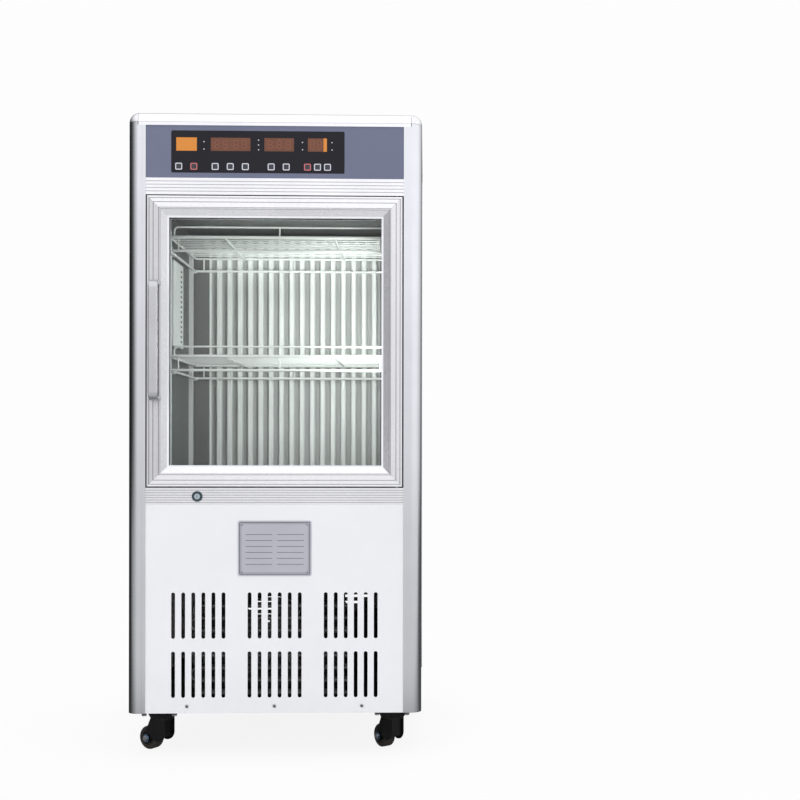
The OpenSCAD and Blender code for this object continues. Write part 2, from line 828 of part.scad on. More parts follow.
// A closed loop of wire with bent corners, lying flat
module wire_loop(x, y0, y1, z, r) {
    for (y = [y0, y1]) rod([-x + wire_bend, y, z], [x - wire_bend, y, z], r);
    for (s = [-1, 1]) rod([s * x, y0 + wire_bend, z], [s * x, y1 - wire_bend, z], r);
    for (c = [[x, y1, 0], [-x, y1, 90], [-x, y0, 180], [x, y0, 270]])
        translate([c.x - sign(c.x) * wire_bend, c.y + (c.y == y1 ? -1 : 1) * wire_bend, z])
            rotate(c.z) rotate_extrude(angle = 90) translate([wire_bend, 0]) circle(r);
}

// A wire shelf: a lower frame, a deck of thin wires on its own frame, and a lip in front
module shelf(z) {
    lower = z - frame_down;
    x = shelf_x;
    n = floor((y_shelf_back - y_shelf - 2 * wire_bend) / wire_pitch);
    lip_r = frame_wire_r - 0.8;
    rail_r = frame_wire_r - 0.5;
    lip_x = x - wire_bend - 2;
    tie_x = lip_x - wire_bend;
    color("white") {
        for (level = [z, lower]) wire_loop(x, y_shelf, y_shelf_back, level, frame_wire_r);
        for (sx = [-1, 0, 1], y = [y_shelf, y_shelf_back])
            rod([sx * tie_x, y, lower], [sx * tie_x, y, z], thin_wire_r);
        for (s = [-0.5, 0.5])
            rod([s * x, y_shelf, z - 1], [s * x, y_shelf_back, z - 1], rail_r);
        for (i = [0 : n])
            rod([-x, y_shelf + wire_bend + i * wire_pitch, z + frame_wire_r],
                [x, y_shelf + wire_bend + i * wire_pitch, z + frame_wire_r], thin_wire_r);
        rod([-tie_x, y_shelf, z + lip_up], [tie_x, y_shelf, z + lip_up], lip_r);
        for (s = [-1, 1]) {
            translate([s * tie_x, y_shelf, z + lip_up - wire_bend])
                rotate([90, s > 0 ? 0 : 270, 0]) rotate_extrude(angle = 90)
                    translate([wire_bend, 0]) circle(lip_r);
            rod([s * lip_x, y_shelf, z], [s * lip_x, y_shelf, z + lip_up - wire_bend], lip_r);
        }
        rod([0, y_shelf, z], [0, y_shelf, z + lip_up], thin_wire_r);
    }
}

module top_shelf() { shelf(z_top_deck); }
module middle_shelf() { shelf(z_middle_deck); }

lamp_x = chamber_x - 25; // half the length of the lamp canopy
lamp_h = 24;         // height of the lamp canopy
lamp_end = 6;        // thickness of the canopy's end plates
lamp_in = 4;         // distance of the canopy behind the chamber's front
lamp_tube_r = 6;
lamp_pitch = 17;     // distance between the two tubes

// A folded reflector across the front of the ceiling, with an end plate at each side
module lamp_canopy() {
    depth = shelf_in - 3 * lamp_in;
    t = 1;
    color("white") translate([-lamp_x, y_seal + lamp_in, z_ceiling]) rotate([90, 0, 90])
        linear_extrude(2 * lamp_x)
            polygon([[0, 0], [depth, 0], [depth, -t], [t, -t], [t, -lamp_h], [0, -lamp_h]]);
    color("white") for (s = [0, 1])
        translate([-lamp_x + s * (2 * lamp_x - lamp_end), y_seal + lamp_in, z_ceiling - lamp_h])
            cube([lamp_end, depth, lamp_h]);
}

module lamp_tubes() {
    color("lemonchiffon") for (i = [0, 1])
        translate([-lamp_x + lamp_end, y_seal + lamp_in + 1.5 * lamp_tube_r + i * lamp_pitch,
                z_ceiling - lamp_h / 2])
            rotate([0, 90, 0]) cylinder(h = 2 * (lamp_x - lamp_end), r = lamp_tube_r);
}

// A tube coil with its plates, and above it the circulation fan's motor on the rear wall
module evaporator() {
    w = 340;
    h = 150;
    below_fan = 40;
    front_gap = 6;
    depth = plenum_d - 2 * front_gap;
    rows = 5;
    pitch = h / rows;
    plate = 2;
    coil_r = 4;
    foot = [16, 8, 12];
    motor_r = 24;
    bracket = [90, 16, 3];
    z0 = z_air_fan - air_fan_r - below_fan - h;
    y0 = y_duct + front_gap;
    color("peru") for (col = [0, 1]) {
        y = y0 + depth * (0.27 + 0.46 * col);
        for (i = [0 : rows - 1])
            rod([-w / 2, y, z0 + (i + 0.5) * pitch], [w / 2, y, z0 + (i + 0.5) * pitch], coil_r);
    }
    color("silver") for (s = [-1, 0, 1])
        translate([s * w / 2 - plate / 2, y0, z0]) cube([plate, depth, h]);
    color("silver") for (s = [-1, 1])
        translate([s * w / 2 - foot.x / 2, y_rear_wall - foot.y, z0 + h - foot.z]) cube(foot);
    color("dimgray") translate([0, y_rear_wall, z_air_fan]) rotate([90, 0, 0]) {
        cylinder(h = y_rear_wall - y_air_fan - fan_hub_t / 2 - air_fan_gap, r = motor_r);
        cylinder(h = y_rear_wall - y_air_fan + fan_hub_t / 2 + 2, r = fan_shaft_r);
        translate([-bracket.x / 2, -bracket.y / 2, 0]) cube(bracket);
    }
}

// Blades of a fan round a hub, turning about Z
module fan_blades(r, hub_r, pitch_deg) {
    difference() {
        union() {
            cylinder(h = fan_hub_t, r = hub_r, center = true);
            for (i = [0 : blade_n - 1]) rotate(i * 360 / blade_n) intersection() {
                translate([hub_r * 0.7, 0, 0]) rotate([pitch_deg, 0, 0])
                    translate([0, -r * 0.32, -blade_t / 2]) cube([r, r * 0.64, blade_t]);
                cylinder(h = fan_hub_t * 1.3, r = r, center = true);
            }
        }
        cylinder(h = 3 * fan_hub_t, r = fan_shaft_r + run, center = true);
    }
}

fan_down = 145;      // distance of the circulation fan below the chamber's ceiling
z_air_fan = z_ceiling - fan_down;
air_fan_gap = 4;     // gap between a fan's hub and its motor
fan_hub_t = 16;
blade_t = 1.6;
fan_shaft_r = 4;
y_air_fan = (y_duct + y_rear_wall) / 2 - 4;

module air_fan() {
    color("dimgray") translate([0, y_air_fan, z_air_fan]) rotate([90, 0, 0])
        fan_blades(air_fan_r, 22, 28);
}

module sensor_cover() {
    len_y = 110;
    t = 10;
    wall = 1.2;
    hole_r = 3;
    room = 8;
    y0 = standard_y[0] + standard_w + room;
    z0 = z_middle_deck + lip_up + shelf_lift - 1;
    h = z_top_deck - frame_down - frame_wire_r - room - z0;
    hole_n = 7;
    color("white") difference() {
        translate([-chamber_x, y0, z0]) cube([t, len_y, h]);
        translate([-chamber_x - cut, y0 + wall, z0 + wall])
            cube([t + cut - wall, len_y - 2 * wall, h - 2 * wall]);
        for (i = [0 : hole_n - 1])
            translate([-chamber_x, y0 + len_y / 3, z0 + (i + 1) * h / (hole_n + 1)])
                rotate([0, 90, 0]) cylinder(h = 2 * t, r = hole_r);
    }
}

// Machine

z_deck = z_base + 2.5; // top of the base tray

module compressor() {
    foot_w = 170;
    foot_d = 110;
    foot_t = 3;
    foot_in = 12;
    foot_r = 9;
    stand = 14;
    round_r = 24;
    stub_r = 5;
    stub_h = 16;
    x = x_bay - compressor_r - 42;
    y = y_back - compressor_r - 70;
    dome_r = compressor_r - round_r;
    side_h = compressor_h - round_r;
    color("black") translate([x, y, z_deck]) {
        for (sx = [-1, 1], sy = [-1, 1])
            translate([sx * (foot_w / 2 - foot_in), sy * (foot_d / 2 - foot_in), 0])
                cylinder(h = stand, r = foot_r);
        translate([-foot_w / 2, -foot_d / 2, stand]) cube([foot_w, foot_d, foot_t]);
        translate([0, 0, stand + foot_t - touch]) rotate_extrude() {
            square([compressor_r, side_h]);
            translate([0, side_h]) square([dome_r, round_r]);
            translate([dome_r, side_h]) intersection() {
                circle(round_r);
                square(round_r + cut);
            }
        }
        translate([compressor_r * 0.2, 0, compressor_h + stand]) cylinder(h = stub_h, r = stub_r);
    }
}

y_condenser = y_front + condenser_back;
condenser_d = 52;
condenser_up = 8;
z_condenser = z_deck + condenser_up;

// Straight tubes through two end plates, joined outside them by bends that sit in the tubes' ends
module condenser() {
    plate = 2.5;
    socket = 1.5;
    bend_r = tube_r - 0.4;
    rows = floor((condenser_h - 2 * tube_r) / tube_pitch);
    x = condenser_w / 2;
    color("gray") translate([condenser_x, 0, 0]) for (s = [-1, 1])
        translate([s * x - plate / 2, y_condenser, z_deck])
            cube([plate, condenser_d, condenser_h + condenser_up]);
    color("dimgray") translate([condenser_x, 0, 0]) for (c = [0, 1], i = [0 : rows - 1]) {
        y = y_condenser + condenser_d * (0.25 + 0.5 * c);
        z = z_condenser + (i + 0.6) * tube_pitch;
        rod([-x - plate - socket, y, z], [x + plate + socket, y, z], tube_r);
        if (i < rows - 1) {
            s = (i + c) % 2 == 0 ? 1 : -1;
            translate([s * (x + plate), y, z + tube_pitch / 2]) rotate([90, 0, 0])
                rotate(s > 0 ? -90 : 90) rotate_extrude(angle = 180)
                    translate([tube_pitch / 2, 0]) circle(bend_r);
        }
    }
    color("gray") translate([condenser_x - x, y_condenser, z_condenser + condenser_h - plate])
        cube([condenser_w, condenser_d, plate]);
}

y_shroud = y_condenser + condenser_d + 3;
shroud_t = 2;
shroud_d = 26;
fan_room = 4;        // gap between the fan's blades and its ring
z_fan = z_deck + condenser_h / 2 + 4;

module fan_shroud() {
    w = condenser_w - 30;
    spoke = 8;
    spoke_t = 3;
    ring_in = fan_r + fan_room;
    ring_t = 2;
    motor_r = 32;
    motor_l = 44;
    y_motor = y_shroud + shroud_d + 4;
    color("dimgray") translate([condenser_x, 0, 0]) {
        difference() {
            translate([-w / 2, y_shroud, z_deck]) cube([w, shroud_t, condenser_h]);
            translate([0, y_shroud - cut, z_fan]) rotate([-90, 0, 0])
                cylinder(h = shroud_t + 2 * cut, r = ring_in);
        }
        translate([0, y_shroud, z_fan]) rotate([-90, 0, 0]) difference() {
            cylinder(h = shroud_d, r = ring_in + ring_t);
            translate([0, 0, -cut]) cylinder(h = shroud_d + 2 * cut, r = ring_in);
        }
        for (a = [45, 135])
            translate([0, y_motor + spoke_t, z_fan]) rotate([90, a, 0])
                translate([-ring_in - 1, -spoke / 2, 0]) cube([2 * (ring_in + 1), spoke, spoke_t]);
        for (a = [45 : 90 : 359])
            translate([0, y_shroud + shroud_d - 1, z_fan]) rotate([90, a, 180])
                translate([ring_in - ring_t, -spoke / 2, 0])
                    cube([2 * ring_t, spoke, y_motor + spoke_t - y_shroud - shroud_d + 1]);
        translate([0, y_motor, z_fan]) rotate([-90, 0, 0]) cylinder(h = motor_l, r = motor_r);
        translate([0, y_shroud + 2, z_fan]) rotate([-90, 0, 0])
            cylinder(h = y_motor - y_shroud - 2 + touch, r = fan_shaft_r);
    }
}

module condenser_fan() {
    color("silver") translate([condenser_x, y_shroud + shroud_d / 2 + 1, z_fan]) rotate([90, 0, 0])
        fan_blades(fan_r, 26, 26);
}

// Casters

caster_x = x_side - caster_in_x;
caster_y = [y_front + caster_in_y, y_back - caster_in_y];
z_axle = wheel_d / 2;
pin_r = 5;
hood_r = 26;
caster_plate_t = 3;
hood_h = 16;
z_hood = z_base - caster_plate_t - hood_h;
z_fork = z_hood - 0.5;
fork_t = 3;
leg_t = 2.5;
leg_gap = 1;

// Runs children at caster i: 0 front left, 1 front right, 2 rear left, 3 rear right
module at_caster(i) {
    translate([(i % 2 == 0 ? -1 : 1) * caster_x, caster_y[floor(i / 2)], 0]) children();
}

module caster_plates() {
    bolt_in = 10;
    bolt_r = 5.5;
    bolt_t = 4;
    pin_head_r = pin_r + 3.5;
    pin_head_t = 3.5;
    z_pin = z_fork - fork_t - 5;
    color("#1c1c1e") for (i = [0 : 3]) at_caster(i) {
        translate([0, 0, z_base - caster_plate_t / 2])
            cube([caster_plate_w, caster_plate_w, caster_plate_t], center = true);
        translate([0, 0, z_hood])
            cylinder(h = hood_h, r1 = hood_r, r2 = hood_r + 8);
        for (sx = [-1, 1], sy = [-1, 1])
            translate([sx * (caster_plate_w / 2 - bolt_in), sy * (caster_plate_w / 2 - bolt_in),
                    z_base - caster_plate_t - bolt_t])
                cylinder(h = bolt_t, r = bolt_r, $fn = 6);
        translate([0, 0, z_pin]) cylinder(h = z_hood - z_pin, r = pin_r);
        translate([0, 0, z_fork - fork_t - 0.5 - pin_head_t])
            cylinder(h = pin_head_t, r = pin_head_r);
    }
}

module fork(i) {
    disc_r = hood_r - 2;
    leg_x = wheel_w / 2 + leg_gap;
    leg_r = 11;
    back_r = 20;
    z_back = z_axle + 15;
    web_y = 12;
    axle_out = 3;
    axle_head_r = 6.5;
    color("#1c1c1e") at_caster(i) rotate(swivel[i]) {
        difference() {
            translate([0, 0, z_fork - fork_t]) cylinder(h = fork_t, r = disc_r);
            translate([0, 0, z_fork - fork_t - cut]) cylinder(h = fork_t + 2 * cut, r = pin_r + run);
        }
        for (s = [-1, 1])
            translate([s * (leg_x + leg_t / 2) - leg_t / 2, 0, 0]) rotate([90, 0, 90])
                linear_extrude(leg_t) {
                    polygon([[-back_r, z_fork - fork_t / 2], [back_r, z_fork - fork_t / 2],
                        [trail + leg_r, z_axle], [trail, z_axle - leg_r / 2],
                        [0, z_back - back_r / 2], [-back_r, z_back]]);
                    translate([0, z_back]) circle(back_r);
                    translate([trail, z_axle]) circle(leg_r);
                }
        translate([-leg_x - touch, -web_y - leg_t, z_back - back_r / 2])
            cube([2 * (leg_x + touch), leg_t, z_fork - fork_t / 2 - z_back + back_r / 2]);
        translate([-leg_x - leg_t - axle_out, trail, z_axle]) rotate([0, 90, 0])
            cylinder(h = 2 * (leg_x + leg_t + axle_out), r = axle_r);
        for (s = [-1, 1])
            translate([s * (leg_x + leg_t + axle_out / 2) - axle_out / 2, trail, z_axle])
                rotate([0, 90, 0]) cylinder(h = axle_out, r = axle_head_r);
    }
}

module wheel(i) {
    r = wheel_d / 2;
    tread_r = 4;
    rim_r = r * 0.62;
    dish = 3;
    boss_r = axle_r + 5;
    half = wheel_w / 2;
    color("#262628") at_caster(i) rotate(swivel[i]) translate([0, trail, z_axle])
        rotate([0, 90, 0]) rotate_extrude() difference() {
            translate([axle_r + run, -half]) square([r - axle_r - run, wheel_w]);
            for (s = [-1, 1]) {
                difference() {
                    translate([r - tread_r, s * (half - tread_r / 2) - tread_r / 2])
                        square([tread_r + cut, tread_r]);
                    translate([r - tread_r, s * (half - tread_r)]) circle(tread_r);
                }
                translate([boss_r, s * (half - dish / 2 + cut / 2) - (dish + cut) / 2])
                    square([rim_r - boss_r, dish + cut]);
            }
        }
}

module front_left_fork() { fork(0); }
module front_right_fork() { fork(1); }
module rear_left_fork() { fork(2); }
module rear_right_fork() { fork(3); }
module front_left_wheel() { wheel(0); }
module front_right_wheel() { wheel(1); }
module rear_left_wheel() { wheel(2); }
module rear_right_wheel() { wheel(3); }

// Door

// Cross-section of a door profile: X runs from the door's edge inwards, Y from the face back
module stile_profile() {
    grooves = [4.5, 13, stile_flat - 1.5];
    difference() {
        polygon([[0, 0], [stile_flat, 0], [stile_w, slope_t], [stile_w, slope_t + 3],
            [stile_w - rebate_w, slope_t + 3], [stile_w - rebate_w, profile_t], [0, profile_t]]);
        for (g = grooves) translate([g - groove_w / 2, -cut]) square([groove_w, groove_t + cut]);
    }
}

// One side of a mitred frame, l long, along X with its outer edge on Z = 0, growing up
module mitred_side(l) {
    intersection() {
        translate([l / 2, 0, 0]) rotate([0, -90, 0]) linear_extrude(l) stile_profile();
        translate([0, profile_t + cut, 0]) upright() linear_extrude(profile_t + 2 * cut)
            polygon([[-l / 2, 0], [l / 2, 0], [l / 2 - stile_w - cut, stile_w + cut],
                [-l / 2 + stile_w + cut, stile_w + cut]]);
    }
}

module door_frame() {
    z_mid = (z_door + z_door_top) / 2;
    pocket_x = sqrt(pow(cam_l + cam_w / 2, 2) - pow(z_door - z_lock, 2));
    color("silver") difference() {
        translate([0, y_door, z_mid]) for (a = [0, 90, 180, 270]) {
            l = a % 180 == 0 ? door_w : door_h;
            out = a % 180 == 0 ? door_h / 2 : door_w / 2;
            rotate([0, a, 0]) translate([0, 0, -out]) mitred_side(l - 2 * mitre_gap);
        }
        for (z = [z_door - cut, z_door_top - hinge_pin_in - 1])
            translate([x_hinge, y_hinge, z]) cylinder(h = hinge_pin_in + 1 + cut, r = bore_r);
        translate([-lock_x - pocket_x - cam_room, y_cam - cam_room, z_door - cut])
            cube([pocket_x + cam_w / 2 + 3 * cam_room, cam_t + 2 * cam_room,
                cut + z_lock + cam_l - z_door + 2 * cam_room]);
    }
}

glass_x = x_door - stile_w + rebate_w - 1;
glass_z = door_h / 2 - stile_w + rebate_w - 1;
y_glass = y_door + slope_t + 3;
glazing_t = 2 * pane_t + pane_gap;

// A rectangular ring standing upright: outer half sizes, ring width, front y and thickness
module upright_ring(half_x, half_z, w, y, t) {
    translate([0, y, (z_door + z_door_top) / 2]) difference() {
        translate([-half_x, 0, -half_z]) cube([2 * half_x, t, 2 * half_z]);
        translate([-half_x + w, -cut, -half_z + w])
            cube([2 * (half_x - w), t + 2 * cut, 2 * (half_z - w)]);
    }
}

module glass_bead() {
    color("white") upright_ring(x_door - stile_w, door_h / 2 - stile_w, bead_w, y_glass - 3, 3);
    color("white") upright_ring(glass_x, glass_z, rebate_w + bead_w - 1, y_glass + glazing_t,
        profile_t - slope_t - 3 - glazing_t);
}

module door_glass() {
    color("lightcyan", 0.3) {
        for (y = [y_glass, y_glass + pane_t + pane_gap])
            translate([-glass_x, y, (z_door + z_door_top) / 2 - glass_z])
                cube([2 * glass_x, pane_t, 2 * glass_z]);
        upright_ring(glass_x, glass_z, 8, y_glass + pane_t, pane_gap);
    }
}

module door_gasket() {
    out = x_door - hinge_in + seal_out;
    out_z = door_h / 2 - hinge_in + seal_out;
    t = gasket_space - touch;
    color("#dcdcdc") upright_ring(out, out_z, gasket_w, y_door + profile_t, t);
}

module door_handle() {
    z_mid = (z_door + z_door_top) / 2;
    bar_z = handle_l / 2;
    color("#d8d8dc") translate([-x_door + handle_in, y_door, z_mid]) {
        translate([0, -handle_out + handle_t / 2, -bar_z + handle_r])
            linear_extrude(2 * (bar_z - handle_r)) rounded_square(handle_w, handle_t, 3);
        for (s = [0, 1]) mirror([0, 0, s]) {
            translate([0, -handle_out + handle_r, bar_z - handle_r]) rotate([0, -90, 0])
                rotate([180, 0, 0]) rotate_extrude(angle = 90)
                    translate([handle_r - handle_t / 2, 0]) rounded_square(handle_t, handle_w, 3);
            translate([0, -handle_out + handle_r, bar_z - handle_t / 2]) rotate([-90, 0, 0])
                linear_extrude(handle_out - handle_r) rounded_square(handle_w, handle_t, 3);
        }
    }
}

// Two pins in the trims: one hangs down into the door, one stands up into it through a washer
module hinge_pins() {
    end = 3;
    washer_w = 2;
    z_up = z_door_top + door_gap + trim_wall;
    z_down = z_door - door_gap - trim_wall;
    color("dimgray") translate([x_hinge, y_hinge, 0]) {
        translate([0, 0, z_door_top - hinge_pin_in])
            cylinder(h = z_up + end - z_door_top + hinge_pin_in, r = hinge_pin_r);
        translate([0, 0, z_down - end])
            cylinder(h = z_door + hinge_pin_in - z_down + end, r = hinge_pin_r);
        translate([0, 0, z_door - door_gap]) cylinder(h = door_gap - touch, r = hinge_pin_r + washer_w);
    }
}

base_tray();
corner_posts();
top_rails();
corner_caps();
top_panel();
side_panels();
rear_panel();
service_panel();
control_fascia();
display_window();
display_modules();
control_board();
key_1();
key_2();
key_3();
key_4();
key_5();
key_6();
key_7();
key_8();
key_9();
key_10();
upper_trim();
lower_trim();
lock_barrel();
lock_plug();
lower_panel();
nameplate();
rivets_and_screws();
chamber_liner();
insulation();
duct_panel();
shelf_supports();
top_shelf();
middle_shelf();
lamp_canopy();
lamp_tubes();
evaporator();
air_fan();
sensor_cover();
compressor();
condenser();
fan_shroud();
condenser_fan();
caster_plates();
front_left_fork();
front_right_fork();
rear_left_fork();
rear_right_fork();
front_left_wheel();
front_right_wheel();
rear_left_wheel();
rear_right_wheel();
door_frame();
glass_bead();
door_glass();
door_gasket();
door_handle();
hinge_pins();
cable_gland();
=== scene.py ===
# %% [markdown]
# # A climate chamber on casters
# A climate chamber keeps plants or samples at a set temperature and light. This lesson dresses the
# engineering model of one: every solid arrives from the CAD file in its true place and size, so
# the work here is the surface of each piece, and the small raised and printed details on top.

import json
import math

import bmesh
import bpy
from mathutils import Matrix, Vector


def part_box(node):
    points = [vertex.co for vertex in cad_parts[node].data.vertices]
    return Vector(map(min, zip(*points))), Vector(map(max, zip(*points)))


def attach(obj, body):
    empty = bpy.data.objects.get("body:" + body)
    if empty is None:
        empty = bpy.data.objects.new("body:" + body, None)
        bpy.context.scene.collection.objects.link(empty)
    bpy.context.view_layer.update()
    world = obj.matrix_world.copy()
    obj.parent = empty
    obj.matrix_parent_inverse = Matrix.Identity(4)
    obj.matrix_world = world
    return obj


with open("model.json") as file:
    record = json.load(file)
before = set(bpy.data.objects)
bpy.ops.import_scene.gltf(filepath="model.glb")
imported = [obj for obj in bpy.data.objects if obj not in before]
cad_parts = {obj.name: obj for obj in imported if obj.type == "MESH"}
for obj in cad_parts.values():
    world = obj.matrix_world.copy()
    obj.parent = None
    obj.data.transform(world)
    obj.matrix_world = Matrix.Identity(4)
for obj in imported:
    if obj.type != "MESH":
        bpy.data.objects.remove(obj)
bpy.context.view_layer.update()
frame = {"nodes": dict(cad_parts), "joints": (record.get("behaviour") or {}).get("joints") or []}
scene = bpy.context.scene

# %% [markdown]
# ## The view
# The picture was taken level, from the right of the cabinet and at the height of its door, so all
# the uprights stay parallel. Tipping the camera to centre the cabinet would make them lean.
# Sliding the picture instead, which is what the camera's shift does, keeps them straight. A turn
# of one and a half degrees to the right makes the level edges close in a little towards the right,
# as they do there.

# %% Camera
PICTURE = 800  # side of the picture in pixels
FOCAL_PIXELS = 1234.7
AXIS_PIXEL = (459.2, 450.5)  # where the camera's axis meets the picture
CAMERA_PLACE = (0.316, -2.88, 0.642)
ROLL, TURN = -0.08, -1.57  # degrees
SENSOR = 36  # millimetres

camera = bpy.data.objects.new("camera", bpy.data.cameras.new("camera"))
bpy.context.collection.objects.link(camera)
camera.data.sensor_width = SENSOR
camera.data.lens = FOCAL_PIXELS / PICTURE * SENSOR
camera.data.shift_x = (PICTURE / 2 - AXIS_PIXEL[0]) / PICTURE
camera.data.shift_y = (AXIS_PIXEL[1] - PICTURE / 2) / PICTURE
camera.location = CAMERA_PLACE
camera.rotation_euler = (math.radians(90), math.radians(ROLL), math.radians(TURN))
scene.camera = camera
print("lens", round(camera.data.lens, 1), "mm")

# %% [markdown]
# ## A short way to write node graphs
# The world and every surface here is a small graph of nodes. One function adds a node and fills
# its sockets, each with a plain value or with the output of another node, which it links. The
# others wrap what comes up most: arithmetic, a change of range, a mix of two colours, and the
# place of a point.

# %% Node helpers
def feed(tree, node, sockets):
    """Fills sockets, found by name or number, with values or with the outputs of other nodes."""
    for socket, source in sockets.items():
        if isinstance(source, bpy.types.NodeSocket):
            tree.links.new(source, node.inputs[socket])
        else:
            node.inputs[socket].default_value = source


def add(tree, kind, sockets, operation=None):
    node = tree.nodes.new(kind)
    if operation:
        node.operation = operation
    feed(tree, node, sockets)
    return node


def maths(tree, operation, *values):
    return add(tree, "ShaderNodeMath", dict(enumerate(values)), operation).outputs[0]


def remap(tree, value, low, high, to_low=0.0, to_high=1.0):
    """Takes low to to_low and high to to_high, and holds these two beyond."""
    return add(tree, "ShaderNodeMapRange", {"Value": value, "From Min": low, "From Max": high,
                                            "To Min": to_low, "To Max": to_high}).outputs[0]


def mix_colours(tree, factor, first, second, way="MIX"):
    node = tree.nodes.new("ShaderNodeMix")
    node.data_type = "RGBA"
    node.blend_type = way
    feed(tree, node, {"Factor": factor, "A": first, "B": second})
    return node.outputs["Result"]


def mix_shaders(tree, factor, first, second):
    return add(tree, "ShaderNodeMixShader", {0: factor, 1: first, 2: second}).outputs[0]


def object_place(tree):
    """The place of a point, in metres from the object's origin."""
    return tree.nodes.new("ShaderNodeTexCoord").outputs["Object"]


def object_axes(tree):
    return add(tree, "ShaderNodeSeparateXYZ", {0: object_place(tree)}).outputs


print("node helpers ready")

# %% [markdown]
# ## Light
# A studio lights a metal cabinet with large soft panels, because metal shows whatever stands round
# it. Here it is bright above, in front and to the right, and dark below, behind and to the left,
# so that the rounded left post shades from light to nearly black, as the picture has it. The world
# does that with one gradient along a slanted direction. Only the camera's own rays see it as plain
# white.

# %% World
DARK_TOWARDS = (-0.30, 0.40, -0.85)
SHADES = [(0.0, 1.0), (0.22, 1.0), (0.27, 0.84), (0.31, 0.70), (0.36, 0.66), (0.40, 0.56),
          (0.455, 0.33), (0.50, 0.20), (0.55, 0.10), (0.61, 0.05), (0.66, 0.035), (0.72, 0.025),
          (0.80, 0.06), (1.0, 0.22)]
STUDIO_STRENGTH = 1.25
LESS_RED_AND_GREEN = 0.985
PLAIN_WHITE = 0.985  # what the camera sees of world and floor

scene.view_settings.view_transform = "Standard"
world = bpy.data.worlds.new("studio")
scene.world = world
world.use_nodes = True
tree = world.node_tree
tree.nodes.clear()
direction = tree.nodes.new("ShaderNodeTexCoord").outputs["Generated"]
along = add(tree, "ShaderNodeVectorMath", {0: direction, 1: DARK_TOWARDS}, "DOT_PRODUCT")
from_0_to_1 = maths(tree, "MULTIPLY_ADD", along.outputs["Value"], 0.5, 0.5)
ramp = add(tree, "ShaderNodeValToRGB", {"Fac": from_0_to_1})
while len(ramp.color_ramp.elements) < len(SHADES):
    ramp.color_ramp.elements.new(0.5)
for stop, (place, shade) in zip(ramp.color_ramp.elements, SHADES):
    stop.position = place
    stop.color = (shade * LESS_RED_AND_GREEN, shade * LESS_RED_AND_GREEN, shade, 1)
studio = add(tree, "ShaderNodeBackground",
             {"Color": ramp.outputs["Color"], "Strength": STUDIO_STRENGTH})
white = add(tree, "ShaderNodeBackground", {"Color": (1, 1, 1, 1), "Strength": PLAIN_WHITE})
by_camera = tree.nodes.new("ShaderNodeLightPath").outputs["Is Camera Ray"]
add(tree, "ShaderNodeOutputWorld",
    {"Surface": mix_shaders(tree, by_camera, studio.outputs[0], white.outputs[0])})
print("world of", len(SHADES), "shades")

# %% [markdown]
# The panels are area lights: a large one in front and to the left, a weaker one at the right, and
# one above. They light the surfaces but don't show as bright patches in them: what the metal and
# the glass mirror is the world alone. Two strips inside the chamber stand for its tubes, because
# two thin tubes alone would light the picture with grain. The taller one stands at the right, so
# that it grazes the duct panel and brings out its corrugations.

# %% Lamps
TUBE_TINT = (0.97, 1, 0.97)


def area_light(name, place, target, size, watts, colour=(1, 1, 1), angle=180):
    data = bpy.data.lights.new(name, "AREA")
    data.shape = "RECTANGLE"
    data.size, data.size_y = size
    data.energy = watts
    data.color = colour
    data.spread = math.radians(angle)
    lamp = bpy.data.objects.new(name, data)
    bpy.context.collection.objects.link(lamp)
    lamp.location = place
    lamp.rotation_euler = (Vector(target) - Vector(place)).to_track_quat("-Z", "Y").to_euler()
    lamp.visible_camera = False
    lamp.visible_glossy = False


area_light("front_panel", (-1.6, -3.2, 1.9), (0, 0, 0.7), (2.4, 2.4), 7)
area_light("right_panel", (2.4, -2.6, 1.5), (0, 0, 0.7), (1.4, 2.2), 3)
area_light("top_panel_light", (0, -0.4, 3.2), (0, 0, 0.6), (2.4, 2.4), 6)
area_light("chamber_light", (0.20, -0.226, 0.89), (-0.06, 0.13, 0.90), (0.05, 0.28), 1.5,
           TUBE_TINT, 150)
area_light("canopy_light", (0, -0.10, 1.04), (0, 0.10, 1.11), (0.42, 0.03), 0.08, TUBE_TINT, 50)

# %% [markdown]
# ## Floor
# The floor is a plain pale sheet. Part of what the camera sees of it is its own white and part is
# real shading. The share of white grows with the distance from the cabinet, so the floor keeps the
# cabinet's shadow and still melts into the white behind it. In the metal it mirrors bright in
# front of the cabinet and dark beside and behind it, as the world does, so the posts stay dark
# down to the foot.

# %% Floor
FLOOR_HALF = 12
FADE_FROM, FADE_TO = 0.4, 1.3  # distance from the middle over which the white grows
WHITE_NEAR, WHITE_FAR = 0.9, 1.0  # share of the floor's own white
IN_FRONT, BESIDE = -1.1, -0.1  # Y over which the mirrored floor turns dark
MIRROR_IN_FRONT, MIRROR_BESIDE = 0.72, 0.07


def new_material(name):
    """A new material, its node tree and the shader in it."""
    material = bpy.data.materials.new(name)
    material.use_nodes = True
    tree = material.node_tree
    return material, tree, tree.nodes["Principled BSDF"]


def mesh_piece(name, bm, material):
    data = bpy.data.meshes.new(name)
    bm.to_mesh(data)
    bm.free()
    piece = bpy.data.objects.new(name, data)
    bpy.context.collection.objects.link(piece)
    data.materials.append(material)
    return piece


